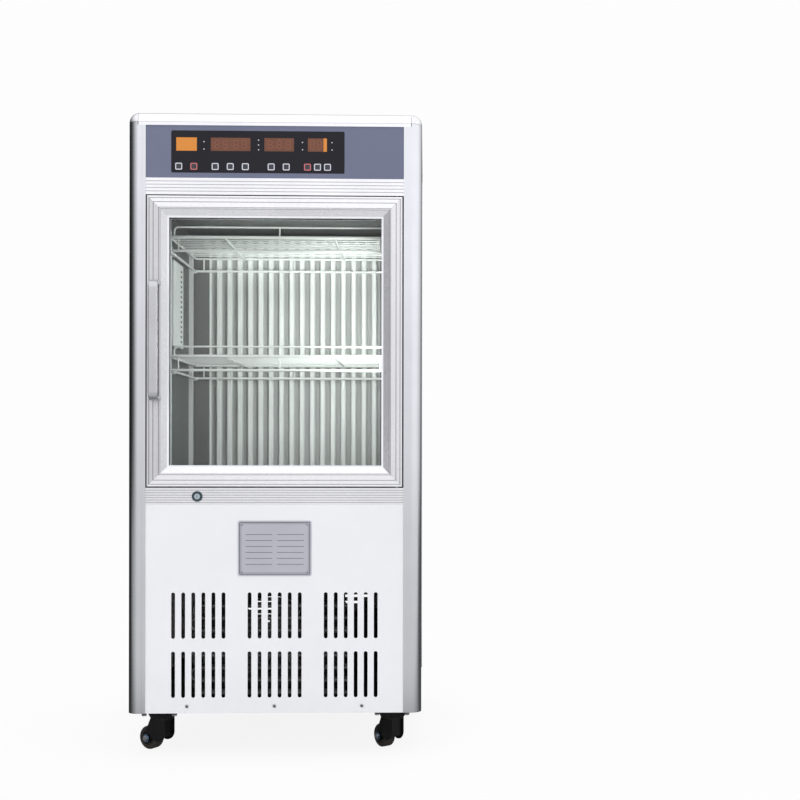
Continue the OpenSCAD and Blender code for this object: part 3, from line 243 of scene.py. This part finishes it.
floor_paint, tree, shader = new_material("floor_paint")
feed(tree, shader, {"Base Color": (0.92, 0.92, 0.92, 1), "Roughness": 0.85,
                    "Specular IOR Level": 0.1})
rays = tree.nodes.new("ShaderNodeLightPath").outputs
distance = add(tree, "ShaderNodeVectorMath", {0: object_place(tree)}, "LENGTH").outputs["Value"]
share = maths(tree, "MULTIPLY", rays["Is Camera Ray"],
              remap(tree, distance, FADE_FROM, FADE_TO, WHITE_NEAR, WHITE_FAR))
own_white = add(tree, "ShaderNodeEmission", {"Strength": PLAIN_WHITE})
seen = mix_shaders(tree, share, shader.outputs[0], own_white.outputs[0])
mirrored = add(tree, "ShaderNodeEmission",
               {"Strength": remap(tree, object_axes(tree)["Y"], IN_FRONT, BESIDE,
                                  MIRROR_IN_FRONT, MIRROR_BESIDE)})
both = mix_shaders(tree, rays["Is Glossy Ray"], seen, mirrored.outputs[0])
feed(tree, tree.nodes["Material Output"], {"Surface": both})

bm = bmesh.new()
bmesh.ops.create_grid(bm, x_segments=1, y_segments=1, size=FLOOR_HALF)
floor = mesh_piece("floor", bm, floor_paint)
print("floor", [round(v, 1) for v in floor.dimensions])

# %% [markdown]
# ## One recipe for most finishes
# Nearly every real finish is a base colour that is a little uneven, a gloss that is a little
# uneven, and a fine relief. The recipe takes one noise for the relief and the gloss, stretched
# where the finish has a grain, and one larger noise for the colour. All of it reads Object
# coordinates, in metres, so that the scale is that of the real thing.

# %% Finish recipe
PATCH = (9, 9, 9)
COAT_ROUGHNESS = 0.12
FINE_PART, BROAD_PART = 0.6, 0.4
dressed = []


def noise(tree, where, scale, detail=4.0):
    place = add(tree, "ShaderNodeMapping", {"Vector": where, "Scale": scale}).outputs[0]
    return add(tree, "ShaderNodeTexNoise", {"Vector": place, "Scale": 1.0, "Detail": detail,
                                            "Roughness": 0.55}).outputs["Fac"]


def spread(tree, value, low, high):
    """Stretches a noise, which seldom leaves 0.3 to 0.7, over the range from low to high."""
    return remap(tree, value, 0.3, 0.7, low, high)


def tint(tree, factor, first, second):
    return mix_colours(tree, factor, (*first, 1), (*second, 1))


def finish(name, colour, uneven=0.05, metallic=0.0, gloss=(0.3, 0.4), grain=(400, 400, 400),
           relief=0.05, depth=0.0002, coat=0.0, stain=None, mirror=0.5):
    """A material made by the recipe.

    Its patches are darker by twice uneven, unless stain gives their colour. metallic is one for
    bare metal. gloss is the lowest and the highest roughness, and grain the scale of the fine
    noise along X, Y and Z. relief is the strength of the bumps and depth their height in metres.
    coat is a clear lacquer, and mirror says how strongly a surface that isn't metal mirrors.
    """
    material, tree, shader = new_material(name)
    where = object_place(tree)
    fine = noise(tree, where, grain)
    broad = noise(tree, where, PATCH, detail=6)
    darker = stain or tuple(c * (1 - 2 * uneven) for c in colour)
    wear = maths(tree, "MULTIPLY_ADD", fine, FINE_PART, maths(tree, "MULTIPLY", broad, BROAD_PART))
    bump = add(tree, "ShaderNodeBump", {"Strength": relief, "Distance": depth, "Height": fine})
    feed(tree, shader, {"Base Color": tint(tree, spread(tree, broad, 0, 1), colour, darker),
                        "Roughness": spread(tree, wear, *gloss), "Normal": bump.outputs[0],
                        "Metallic": metallic, "Specular IOR Level": mirror,
                        "Coat Weight": coat, "Coat Roughness": COAT_ROUGHNESS})
    return material


def glow(material, colour, strength):
    tree = material.node_tree
    feed(tree, tree.nodes["Principled BSDF"],
         {"Emission Color": (*colour, 1), "Emission Strength": strength})


def dress(material, *names):
    for name in names:
        for place in frame["nodes"][name].material_slots:
            place.material = material
        dressed.append(name)


print("recipe ready")

# %% [markdown]
# ## Colour and painted shade that follow the shape
# Grooves and troughs see less light than the crests do, and here that shade is painted into the
# colour. As the front of the cabinet faces along Y, the depth of a point is its Y, and the painted
# shade can follow it. In the same way X says how far a point lies to the side. Each of these
# functions multiplies the colour of a finish by a share, where its own measure says so.

# %% Colour by place
def multiply_paint(material, factor, share):
    """Multiplies the colour by share, a number or an output, as far as factor says."""
    tree = material.node_tree
    shader = tree.nodes["Principled BSDF"]
    paint = shader.inputs["Base Color"].links[0].from_socket
    if not isinstance(share, bpy.types.NodeSocket):
        share = (share, share, share, 1)
    feed(tree, shader, {"Base Color": mix_colours(tree, factor, paint, share, "MULTIPLY")})


def paint_shade_deep(material, crest, trough, share, end=1.0):
    """Paints shade: darkens from the depth crest on, fully from trough on, not at all beyond end.
    """
    tree = material.node_tree
    depth = object_axes(tree)["Y"]
    deep = remap(tree, depth, crest, trough)
    multiply_paint(material, maths(tree, "MULTIPLY", deep, maths(tree, "LESS_THAN", depth, end)),
                   share)


def darken_sides(material, start, full, share, left_only=False):
    """Darkens beyond start, fully from full on, both measured sideways from the middle."""
    tree = material.node_tree
    x = object_axes(tree)["X"]
    aside = maths(tree, "MULTIPLY", x, -1) if left_only else maths(tree, "ABSOLUTE", x)
    multiply_paint(material, remap(tree, aside, start, full), share)


def paint_shade_uprights(material, name, left, right):
    """Paints shade on the uprights of a mitred frame, by a share that runs from left to right."""
    tree = material.node_tree
    low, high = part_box(name)
    from_middle = add(tree, "ShaderNodeVectorMath", {0: object_place(tree), 1: (low + high) / 2},
                      "SUBTRACT")
    outward = add(tree, "ShaderNodeVectorMath", {0: from_middle.outputs[0]}, "ABSOLUTE")
    parts = add(tree, "ShaderNodeSeparateXYZ", {0: outward.outputs[0]}).outputs
    lead_at_mitre = ((high.x - low.x) - (high.z - low.z)) / 2
    upright = maths(tree, "GREATER_THAN", maths(tree, "SUBTRACT", parts["X"], parts["Z"]),
                    lead_at_mitre)
    share = remap(tree, object_axes(tree)["X"], low.x, high.x, left, right)
    multiply_paint(material, upright, share)


print("colour by place ready")

# %% [markdown]
# ## Aluminium
# The posts, rails, trims and the door's frame are extruded aluminium with a satin anodised skin.
# An extrusion carries fine lines along its length, so the relief is a noise pulled long in that
# direction: up for the posts, across for the trims and rails. The door's frame is one piece with
# mitred corners. Its grain turns at the mitre. Its upright profiles carry painted shade, deeper at
# the left than at the right, and a point belongs to an upright when it lies nearer to a side of
# the frame than to its top or foot. The rounded left post carries painted shade too: its colour
# falls off towards its outer side.

# %% Anodised aluminium
SILVER = (0.74, 0.75, 0.79)
PALE = (0.90, 0.90, 0.93)
# Y of the outermost face and of the grooves' ground, and for the door where its slope begins
TRIM_CREST, TRIM_TROUGH = -0.2768, -0.2760
DOOR_CREST, DOOR_TROUGH, DOOR_SLOPE = -0.2798, -0.2790, -0.2786
POST_FRONT, POST_SIDE = 0.287, 0.300  # distance from the middle over which the post turns dark

post_metal = finish("anodised_upright", SILVER, 0.03, 1.0, (0.18, 0.26), (900, 900, 12), 0.06)
trim_metal = finish("anodised_across", PALE, 0.03, 0.8, (0.22, 0.32), (12, 900, 900), 0.05)
door_metal = finish("anodised_door", PALE, 0.03, 0.6, (0.25, 0.31), (1100, 1100, 1100), 0.02)
rail_metal = finish("anodised_rail", (0.88, 0.88, 0.91), 0.02, 1.0, (0.2, 0.3),
                    (40, 900, 900), 0.05)
# painted shade in the grooves of the trims and of the door's frame
paint_shade_deep(trim_metal, TRIM_CREST, TRIM_TROUGH, share=0.6)
paint_shade_deep(door_metal, DOOR_CREST, DOOR_TROUGH, share=0.5, end=DOOR_SLOPE)
# painted shade on the door frame's uprights, deeper at the left
paint_shade_uprights(door_metal, "door_frame", left=0.71, right=0.84)
# painted shade on the left post, growing towards its outer side
darken_sides(post_metal, POST_FRONT, POST_SIDE, share=0.38, left_only=True)
dress(post_metal, "corner_posts")
dress(rail_metal, "top_rails")
dress(trim_metal, "upper_trim", "lower_trim")
dress(door_metal, "door_frame")
print("nodes dressed:", len(dressed))

# %% [markdown]
# ## Painted sheet
# The covers and the slotted panel are folded steel with powder paint. Powder melts into a skin
# like that of an orange, with bumps about a millimetre across. The caps at the top corners are
# glossier, and the tray and the shroud, down in the shade, are of dark steel.

# %% Powder paint
WHITE = (0.785, 0.79, 0.815)
powder = finish("powder_white", WHITE, 0.015, 0.0, (0.34, 0.44), (700, 700, 700), 0.10)
cap_gloss = finish("cap_gloss", (0.80, 0.80, 0.83), 0.02, 0.9, (0.14, 0.22), (300, 300, 300), 0.03)
dark_steel = finish("dark_steel", (0.03, 0.03, 0.034), 0.12, 0.3, (0.42, 0.6),
                    (500, 500, 500), 0.15)
dress(powder, "lower_panel", "side_panels", "rear_panel", "service_panel", "top_panel")
dress(cap_gloss, "corner_caps")
dress(dark_steel, "base_tray", "fan_shroud")
print("nodes dressed:", len(dressed))

# %% [markdown]
# ## Control fascia
# The fascia is a printed film on a metal plate, satin and slightly grainy. The window over the
# displays is smoked acrylic, so dark that only lit parts show, and it mirrors little.

# %% Fascia and window
film = finish("fascia_film", (0.140, 0.155, 0.240), 0.04, 0.0, (0.36, 0.46),
              (1500, 1500, 1500), 0.06)
smoked = finish("smoked_acrylic", (0.012, 0.011, 0.017), 0.10, 0.0, (0.14, 0.22),
                (60, 60, 60), 0.01, mirror=0.2)
board = finish("solder_mask", (0.01, 0.09, 0.04), 0.15, 0.0, (0.3, 0.4), (300, 300, 300), 0.1)
dress(film, "control_fascia")
dress(smoked, "display_window")
dress(board, "control_board")
print("nodes dressed:", len(dressed))

# %% [markdown]
# Each display is a box behind an orange filter. One glows and the others rest, with a lit strip at
# the end of the last; the resting ones get a faint painted glow. They are one node, so the material
# finds the lit places by their distance along the cabinet.

# %% Displays
LIT_SPANS = [(-0.2075, -0.1635), (0.1010, 0.1085)]
LIT = (0.36, 0.125, 0.012)
RESTING, RESTING_DARKER = (0.100, 0.032, 0.014), (0.078, 0.024, 0.010)
# the resting displays glow faintly, a painted glow, and the lit ones fully
RESTING_GLOW, LIT_GLOW = 0.6, 0.85


def between(tree, value, low, high):
    """One where value lies between low and high, and zero elsewhere."""
    return maths(tree, "MULTIPLY", maths(tree, "GREATER_THAN", value, low),
                 maths(tree, "LESS_THAN", value, high))


display, tree, shader = new_material("display_filter")
x = object_axes(tree)["X"]
lit = maths(tree, "MAXIMUM", *[between(tree, x, *span) for span in LIT_SPANS])
mottle = noise(tree, object_place(tree), (70, 70, 160), detail=5)
resting = tint(tree, spread(tree, mottle, 0, 1), RESTING, RESTING_DARKER)
colour = mix_colours(tree, lit, resting, (*LIT, 1))
feed(tree, shader, {"Base Color": colour, "Emission Color": colour, "Roughness": 0.25,
                    "Emission Strength": remap(tree, lit, 0, 1, RESTING_GLOW, LIT_GLOW)})
dress(display, "display_modules")
print("displays lit at", LIT_SPANS)

# %% [markdown]
# ## Keys
# A key is a flat square under the printed film. Its outline is a raised line of paint, grey on
# most and red on two. The ring starts as one square face: its corners are rounded with a vertex
# bevel, the face is inset to leave a border, and the border gets its thickness from an extrusion.

# %% Key faces and outlines
KEY_RING, KEY_CORNER = 0.0144, 0.0026  # side of the ring, radius of its corners
KEY_LINE, KEY_RELIEF = 0.0019, 0.0002  # width and thickness of its line
PROUD = 0.0001  # how far printed lines stand off what they are printed on

key_dark = finish("key_film", (0.035, 0.035, 0.048), 0.1, 0.0, (0.35, 0.5), (900, 900, 900), 0.05)
key_grey = finish("key_line_grey", (0.66, 0.68, 0.76), 0.05, 0.0, (0.4, 0.5), (900, 900, 900), 0.05)
key_red = finish("key_line_red", (0.62, 0.16, 0.17), 0.05, 0.0, (0.4, 0.5), (900, 900, 900), 0.05)


def thicken(bm, distance):
    """Pulls a flat mesh out along Z."""
    grown = bmesh.ops.extrude_face_region(bm, geom=list(bm.faces))
    moved = [v for v in grown["geom"] if isinstance(v, bmesh.types.BMVert)]
    bmesh.ops.translate(bm, vec=(0, 0, distance), verts=moved)


def turn(bm, degrees, axis):
    bmesh.ops.rotate(bm, cent=(0, 0, 0), matrix=Matrix.Rotation(math.radians(degrees), 3, axis),
                     verts=bm.verts)


def rounded_plate(width, height, radius, border=None, thickness=0.0001, segments=5):
    """A flat plate or ring, rounded at its corners, lying in XZ with its front on Y = 0."""
    bm = bmesh.new()
    bmesh.ops.create_grid(bm, x_segments=1, y_segments=1, size=0.5)
    bmesh.ops.scale(bm, vec=(width, height, 1), verts=bm.verts)
    bmesh.ops.bevel(bm, geom=list(bm.verts), offset=radius, affect="VERTICES", segments=segments,
                    profile=0.5, material=-1)
    if border:
        middle = list(bm.faces)
        bmesh.ops.inset_region(bm, faces=middle, thickness=border, use_even_offset=True,
                               use_boundary=True)
        bmesh.ops.delete(bm, geom=middle, context="FACES")
    thicken(bm, -thickness)
    turn(bm, 90, "X")
    bmesh.ops.recalc_face_normals(bm, faces=bm.faces)
    return bm


for number in range(1, 11):
    name = f"key_{number}"
    dress(key_dark, name)
    low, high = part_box(name)
    centre = (low + high) / 2
    bm = rounded_plate(KEY_RING, KEY_RING, KEY_CORNER, border=KEY_LINE, thickness=KEY_RELIEF)
    bmesh.ops.translate(bm, vec=(centre.x, low.y - PROUD, centre.z), verts=bm.verts)
    line = mesh_piece(f"{name}_outline", bm, key_red if number in (2, 8) else key_grey)
    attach(line, name)
print("keys outlined: 10")

# %% [markdown]
# ## Lock, handle and small metal
# The lock's barrel is dark and a little blue, and its plug is bright where a key goes in. The
# handle is a flat bar with a satin skin, and its grain runs up along it.

# %% Lock, handle and fasteners
barrel_metal = finish("lock_barrel_metal", (0.07, 0.10, 0.12), 0.15, 0.9, (0.16, 0.32),
                      (900, 900, 900), 0.06)
handle_metal = finish("handle_satin", (0.60, 0.60, 0.63), 0.06, 0.9, (0.2, 0.34),
                      (700, 700, 30), 0.08)
plate_metal = finish("nameplate_satin", (0.52, 0.53, 0.59), 0.03, 0.6, (0.36, 0.46),
                     (30, 900, 900), 0.08)
zinc = finish("zinc_plating", (0.42, 0.42, 0.45), 0.12, 0.85, (0.3, 0.5), (900, 900, 900), 0.1)
plug_metal = finish("lock_plug_metal", (0.56, 0.64, 0.70), 0.15, 0.9, (0.16, 0.32),
                    (900, 900, 900), 0.06)
dress(barrel_metal, "lock_barrel")
dress(plug_metal, "lock_plug")
dress(handle_metal, "door_handle")
dress(plate_metal, "nameplate")
dress(zinc, "rivets_and_screws", "hinge_pins")
print("nodes dressed:", len(dressed))

# %% [markdown]
# ## The chamber
# Inside, the liner is bare stainless sheet that looks grey beside the bright duct panel. The panel
# is coated in a cool white where it is corrugated and left bare on its flat margins, and the
# shelves are wire dipped in plastic. The troughs of the corrugation carry painted shade.

# %% Chamber finishes
DUCT_CREST, DUCT_TROUGH = -0.0080, -0.0015  # Y, counted from the back of the panel
DUCT_COATED, DUCT_BARE = 0.2045, 0.2075  # distance from the middle at which the coat ends

liner_steel = finish("liner_steel", (0.135, 0.144, 0.144), 0.05, 0.3, (0.34, 0.46),
                     (900, 60, 900), 0.08)
duct_white = finish("duct_coat", (0.80, 0.82, 0.81), 0.05, 0.0, (0.3, 0.42), (200, 200, 60), 0.05)
support_white = finish("support_coat", (0.72, 0.74, 0.74), 0.05, 0.1, (0.3, 0.42),
                       (300, 300, 80), 0.05)
wire_coat = finish("wire_coat", (0.78, 0.80, 0.79), 0.04, 0.0, (0.2, 0.32), (500, 500, 500), 0.06,
                   coat=0.3)
tube_glass = finish("lamp_tube", (0.9, 0.92, 0.88), 0.02, 0.0, (0.3, 0.4), (200, 200, 200), 0.02)
duct_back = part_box("duct_panel")[1].y
# painted shade in the troughs of the corrugation
paint_shade_deep(duct_white, duct_back + DUCT_CREST, duct_back + DUCT_TROUGH, share=0.42)
darken_sides(duct_white, DUCT_COATED, DUCT_BARE, share=0.2)
glow(tube_glass, TUBE_TINT, strength=0.8)
dress(liner_steel, "chamber_liner")
dress(duct_white, "duct_panel")
dress(support_white, "shelf_supports", "sensor_cover")
dress(dark_steel, "lamp_canopy")
dress(wire_coat, "top_shelf", "middle_shelf")
dress(tube_glass, "lamp_tubes")
print("nodes dressed:", len(dressed))

# %% [markdown]
# ## Glass
# The door has two clear panes. They are a little smeared, so their roughness varies, and they let
# light through without bending it, so that the chamber behind them is lit well.

# %% Glass, bead and gasket
CLEAR = (0.98, 0.99, 0.985, 1)

glass, tree, shader = new_material("door_glass")
smear = noise(tree, object_place(tree), (14, 14, 5), detail=5)
feed(tree, shader, {"Base Color": CLEAR, "IOR": 1.18, "Transmission Weight": 1.0,
                    "Roughness": spread(tree, smear, 0.0, 0.035)})
see_through = add(tree, "ShaderNodeBsdfTransparent", {"Color": CLEAR})
for_shadow = tree.nodes.new("ShaderNodeLightPath").outputs["Is Shadow Ray"]
feed(tree, tree.nodes["Material Output"],
     {"Surface": mix_shaders(tree, for_shadow, shader.outputs[0], see_through.outputs[0])})
bead = finish("bead_white", (0.84, 0.85, 0.88), 0.02, 0.0, (0.35, 0.45), (300, 300, 300), 0.03)
rubber = finish("gasket_rubber", (0.35, 0.36, 0.38), 0.08, 0.0, (0.5, 0.65), (600, 600, 600), 0.12)
dress(glass, "door_glass")
dress(bead, "glass_bead")
dress(rubber, "door_gasket")
print("nodes dressed:", len(dressed))

# %% [markdown]
# ## The machine
# Behind the slots stand the condenser with its tubes and a fan, and behind it the black shell of
# the compressor. Little light gets in, so their gloss matters more than their colour.

# %% Machine finishes
tube_paint = finish("condenser_paint", (0.34, 0.34, 0.35), 0.2, 0.8, (0.28, 0.42),
                    (400, 400, 400), 0.1)
fan_metal = finish("fan_metal", (0.45, 0.45, 0.47), 0.08, 0.8, (0.3, 0.45), (400, 400, 400), 0.06)
shell_paint = finish("shell_paint", (0.010, 0.010, 0.011), 0.2, 0.0, (0.2, 0.3),
                     (300, 300, 300), 0.05)
copper = finish("copper_tube", (0.60, 0.26, 0.14), 0.12, 0.9, (0.25, 0.42), (300, 300, 300), 0.06)
moulded = finish("moulded_black", (0.020, 0.020, 0.022), 0.12, 0.0, (0.42, 0.55),
                 (900, 900, 900), 0.1)
foam = finish("foam", (0.75, 0.66, 0.40), 0.1, 0.0, (0.8, 0.95), (500, 500, 500), 0.5, 0.001)
dress(tube_paint, "condenser")
dress(fan_metal, "condenser_fan")
dress(shell_paint, "compressor")
dress(copper, "evaporator")
dress(moulded, "air_fan", "cable_gland")
dress(foam, "insulation")
print("nodes dressed:", len(dressed))

# %% [markdown]
# ## Casters
# The forks are black stamped steel and the wheels are moulded. A wheel that has rolled on a
# workshop floor is dull and dusty on its tread.

# %% Caster finishes
fork_paint = finish("fork_paint", (0.007, 0.007, 0.008), 0.2, 0.2, (0.28, 0.42),
                    (500, 500, 500), 0.1)
tread = finish("wheel_tread", (0.016, 0.015, 0.014), 0.3, 0.0, (0.4, 0.62), (700, 700, 700), 0.2,
               stain=(0.040, 0.034, 0.028))
corners = ["front_left", "front_right", "rear_left", "rear_right"]
dress(fork_paint, "caster_plates", *[f"{c}_fork" for c in corners])
dress(tread, *[f"{c}_wheel" for c in corners])
print("nodes dressed:", len(dressed), "of", len(frame["nodes"]))

# %% [markdown]
# ## Digits behind the filters
# A display shows seven bars for each digit, and the bars that are off still show faintly; here
# that faint show is a painted glow. One bar is a thin plate with pointed ends: a vertex bevel as
# wide as half the bar's height makes the points. The same bar is placed seven times for each
# digit, and all bars of the panel are one piece.

# %% Digits
DISPLAY_FRONT = -0.2760
DISPLAY_MIDDLE = 1.2840
DIGIT = (0.0105, 0.0190)  # width, height
BAR = 0.0021  # height of one bar
POINT = 0.48  # length of a bar's point, as a share of its height
LEVEL_BAR, UPRIGHT_BAR = 0.94, 0.92  # length of a bar, as a share of the room it has
DIGITS_AT = [-0.1215, -0.1050, -0.0820, -0.0655, -0.0110, 0.0080, 0.0270, 0.0775, 0.0920]
SEGMENT_OFF = (0.135, 0.042, 0.020)

segment_off = finish("display_segment", SEGMENT_OFF, 0.1, 0.0, (0.3, 0.4), (300, 300, 300), 0.02)
# a painted glow on the bars that are off
glow(segment_off, SEGMENT_OFF, strength=0.6)


def add_to(bm, other, place):
    """Copies the small mesh other into bm, moved to place, and frees it."""
    bmesh.ops.translate(other, vec=place, verts=other.verts)
    holder = bpy.data.meshes.new("holder")
    other.to_mesh(holder)
    other.free()
    bm.from_mesh(holder)
    bpy.data.meshes.remove(holder)


def pointed_bar(length, upright):
    size = (BAR, length) if upright else (length, BAR)
    return rounded_plate(*size, BAR * POINT, thickness=0.00008, segments=1)


bm = bmesh.new()
w, h = DIGIT[0] - BAR, (DIGIT[1] - BAR) / 2
y = DISPLAY_FRONT - PROUD
for x in DIGITS_AT:
    for level in (-1, 0, 1):
        add_to(bm, pointed_bar(w * LEVEL_BAR, False), (x, y, DISPLAY_MIDDLE + level * h))
    for side in (-1, 1):
        for level in (-0.5, 0.5):
            place = (x + side * w / 2, y, DISPLAY_MIDDLE + level * h)
            add_to(bm, pointed_bar(h * UPRIGHT_BAR, True), place)
digits = mesh_piece("display_digits", bm, segment_off)
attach(digits, "cabinet")
print("bars:", 7 * len(DIGITS_AT))

# %% [markdown]
# ## Indicator lamps
# Beside the displays sit small round lamps, each a low dome. A sphere with few segments is
# squashed to a third of its radius, which keeps the rim thin as on a moulded lens.

# %% Indicator lamps
WINDOW_FRONT = -0.2766
LENS_RADIUS, LENS_SQUASH = 0.0014, 0.34
# X and Z of each lamp
LAMPS = [(-0.149, 1.289), (-0.149, 1.2736), (-0.035, 1.293), (-0.035, 1.2828), (-0.035, 1.2727),
         (0.057, 1.289), (0.057, 1.2736), (0.119, 1.289), (0.119, 1.2736)]

lens = finish("indicator_lens", (0.62, 0.62, 0.60), 0.08, 0.0, (0.15, 0.25), (300, 300, 300), 0.02,
              coat=0.5)
bm = bmesh.new()
for x, z in LAMPS:
    dome = bmesh.new()
    bmesh.ops.create_uvsphere(dome, u_segments=16, v_segments=8, radius=LENS_RADIUS)
    bmesh.ops.scale(dome, vec=(1, LENS_SQUASH, 1), verts=dome.verts)
    add_to(bm, dome, (x, WINDOW_FRONT, z))
lamps = mesh_piece("indicator_lamps", bm, lens)
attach(lamps, "cabinet")
print("indicator lamps:", len(LAMPS))

# %% [markdown]
# ## The bare nameplate
# A nameplate has a printed border of a thick and a thin line and ruled fields between them. The
# lines are thin rings and bars of ink, a tenth of a millimetre proud of the metal, and no field is
# filled in.

# %% Nameplate lines
BORDERS = ((0.0030, 0.0014), (0.0062, 0.0006))  # distance from the plate's edge, width of the line
BORDER_CORNER = 0.003
RULE = (0.056, 0.0009, 0.0003)  # length, width, radius of its corners
RULE_ASIDE, TOP_RULE = 0.033, 0.029  # from the plate's middle to a rule's, and to the top row
RULE_PITCH, RULE_ROWS = 0.0125, 6

ink = finish("plate_ink", (0.06, 0.065, 0.08), 0.1, 0.0, (0.45, 0.6), (900, 900, 900), 0.05)
plate_low, plate_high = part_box("nameplate")
plate_mid, plate = (plate_low + plate_high) / 2, plate_high - plate_low
y = plate_low.y - PROUD
bm = bmesh.new()
for inset, line in BORDERS:
    ring = rounded_plate(plate.x - 2 * inset, plate.z - 2 * inset, BORDER_CORNER, border=line)
    add_to(bm, ring, (plate_mid.x, y, plate_mid.z))
for row in range(RULE_ROWS):
    z = plate_mid.z + TOP_RULE - row * RULE_PITCH
    for side in (-1, 1):
        add_to(bm, rounded_plate(*RULE, segments=1), (plate_mid.x + side * RULE_ASIDE, y, z))
lines = mesh_piece("nameplate_lines", bm, ink)
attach(lines, "cabinet")
print("nameplate", round(plate.x, 3), "by", round(plate.z, 3))

# %% [markdown]
# ## Slits of the sensor cover
# The cover on the left wall lets air through a column of short slits. They are dark plates, a
# tenth of a millimetre proud of the cover, turned from the front to face into the chamber.

# %% Sensor slits
SLITS = 15
SLIT = (0.016, 0.0042, 0.0018)  # length, width, radius of its ends
SLIT_FROM_BACK, SLIT_MARGIN = 0.022, 0.015

slit_dark = finish("slit_dark", (0.02, 0.02, 0.02), 0.2, 0.0, (0.5, 0.7), (900, 900, 900), 0.1)
cover_low, cover_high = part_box("sensor_cover")
step = (cover_high.z - cover_low.z - 2 * SLIT_MARGIN) / (SLITS - 1)
bm = bmesh.new()
for number in range(SLITS):
    slit = rounded_plate(*SLIT, segments=3)
    turn(slit, 90, "Z")
    add_to(bm, slit, (cover_high.x + PROUD, cover_high.y - SLIT_FROM_BACK,
                      cover_low.z + SLIT_MARGIN + number * step))
slits = mesh_piece("sensor_slits", bm, slit_dark)
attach(slits, "cabinet")
print("sensor slits:", SLITS)

# %% [markdown]
# ## Cross recesses
# A screw head without its cross looks like a rivet. The cross is cut from a grid of nine squares
# by taking the four corner squares away, and sits dark in the head's flat top.

# %% Screw recesses
SCREW_FRONT = -0.2791
SCREW_LINE = 0.105
SCREWS = ((-0.183, 20), (0.0, 65), (0.183, 40))  # place along the cabinet, turn of the cross
CROSS = 0.0036

recess_dark = finish("recess_dark", (0.03, 0.03, 0.032), 0.2, 0.5, (0.5, 0.7), (900, 900, 900), 0.1)


def cross(size):
    """A flat cross, lying in XZ."""
    bm = bmesh.new()
    bmesh.ops.create_grid(bm, x_segments=3, y_segments=3, size=size / 2)
    outer = [f for f in bm.faces if min(abs(v) for v in f.calc_center_median().xy) > size / 6]
    bmesh.ops.delete(bm, geom=outer, context="FACES")
    thicken(bm, -PROUD)
    turn(bm, 90, "X")
    bmesh.ops.recalc_face_normals(bm, faces=bm.faces)
    return bm


bm = bmesh.new()
for x, angle in SCREWS:
    mark = cross(CROSS)
    turn(mark, angle, "Y")
    add_to(bm, mark, (x, SCREW_FRONT, SCREW_LINE))
recesses = mesh_piece("screw_recesses", bm, recess_dark)
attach(recesses, "cabinet")
print("recesses:", len(SCREWS))

# %% [markdown]
# ## Nuts and washers of the casters
# Each axle ends in a washer with a blue passivated tint and a hexagon nut, and four bolts with
# bright nuts hold each plate. A nut is a hexagon pulled to its thickness, with its outer edges
# bevelled as the turned chamfer of a real one.

# %% Nuts and washers
AXLE_END = 0.0185  # from the wheel's middle
WASHER = (0.0085, 0.0008, 28, 0.0002)  # radius, thickness, sides, chamfer
AXLE_NUT = (0.0060, 0.0042, 6, 0.0006)
BOLT_NUT = (0.0055, 0.0035, 6, 0.0006)
BOLT_ASIDE, BOLT_LEVEL = 0.032, 0.083  # from the caster's axis, and above the floor

nut_zinc = finish("nut_zinc", (0.50, 0.50, 0.53), 0.1, 0.9, (0.22, 0.4), (900, 900, 900), 0.08)
washer_blue = finish("washer_blue", (0.16, 0.26, 0.40), 0.15, 0.8, (0.2, 0.35),
                     (900, 900, 900), 0.08)
joints = {joint["name"]: joint for joint in frame["joints"]}


def disc(radius, thickness, sides, chamfer):
    """A nut or washer along X, from X = 0 outwards."""
    bm = bmesh.new()
    bmesh.ops.create_circle(bm, cap_ends=True, segments=sides, radius=radius)
    thicken(bm, thickness)
    rim = [e for e in bm.edges if all(abs(v.co.z - thickness) < 1e-7 for v in e.verts)]
    bmesh.ops.bevel(bm, geom=rim, offset=chamfer, affect="EDGES", segments=2, profile=0.5,
                    material=-1)
    turn(bm, 90, "Y")
    bmesh.ops.recalc_face_normals(bm, faces=bm.faces)
    return bm


def add_on_axle(bm, shape, corner, side):
    """Adds a disc of that shape to bm, at one end of the corner's axle."""
    joint = joints[f"{corner}_roll"]
    axis = Vector(joint["axis"]) * side
    part = disc(*shape)
    outwards = Vector((1, 0, 0)).rotation_difference(axis).to_matrix()
    bmesh.ops.rotate(part, cent=(0, 0, 0), matrix=outwards, verts=part.verts)
    add_to(bm, part, Vector(joint["pos_m"]) + axis * AXLE_END)


heads = bmesh.new()
for corner in corners:
    x, y, _ = joints[f"{corner}_swivel"]["pos_m"]
    for side in (-1, 1):
        for row in (-1, 1):
            head = disc(*BOLT_NUT)
            turn(head, 90, "Y")
            add_to(heads, head, (x + side * BOLT_ASIDE, y + row * BOLT_ASIDE, BOLT_LEVEL))
bolts = mesh_piece("plate_bolt_heads", heads, nut_zinc)
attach(bolts, "cabinet")

for corner in corners:
    washers, nuts = bmesh.new(), bmesh.new()
    for side in (-1, 1):
        add_on_axle(washers, WASHER, corner, side)
        add_on_axle(nuts, AXLE_NUT, corner, side)
    for kind, bm, metal in (("washers", washers, washer_blue), ("nuts", nuts, nut_zinc)):
        piece = mesh_piece(f"{corner}_{kind}", bm, metal)
        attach(piece, f"{corner}_fork")
print("nuts and washers on", len(corners), "casters")
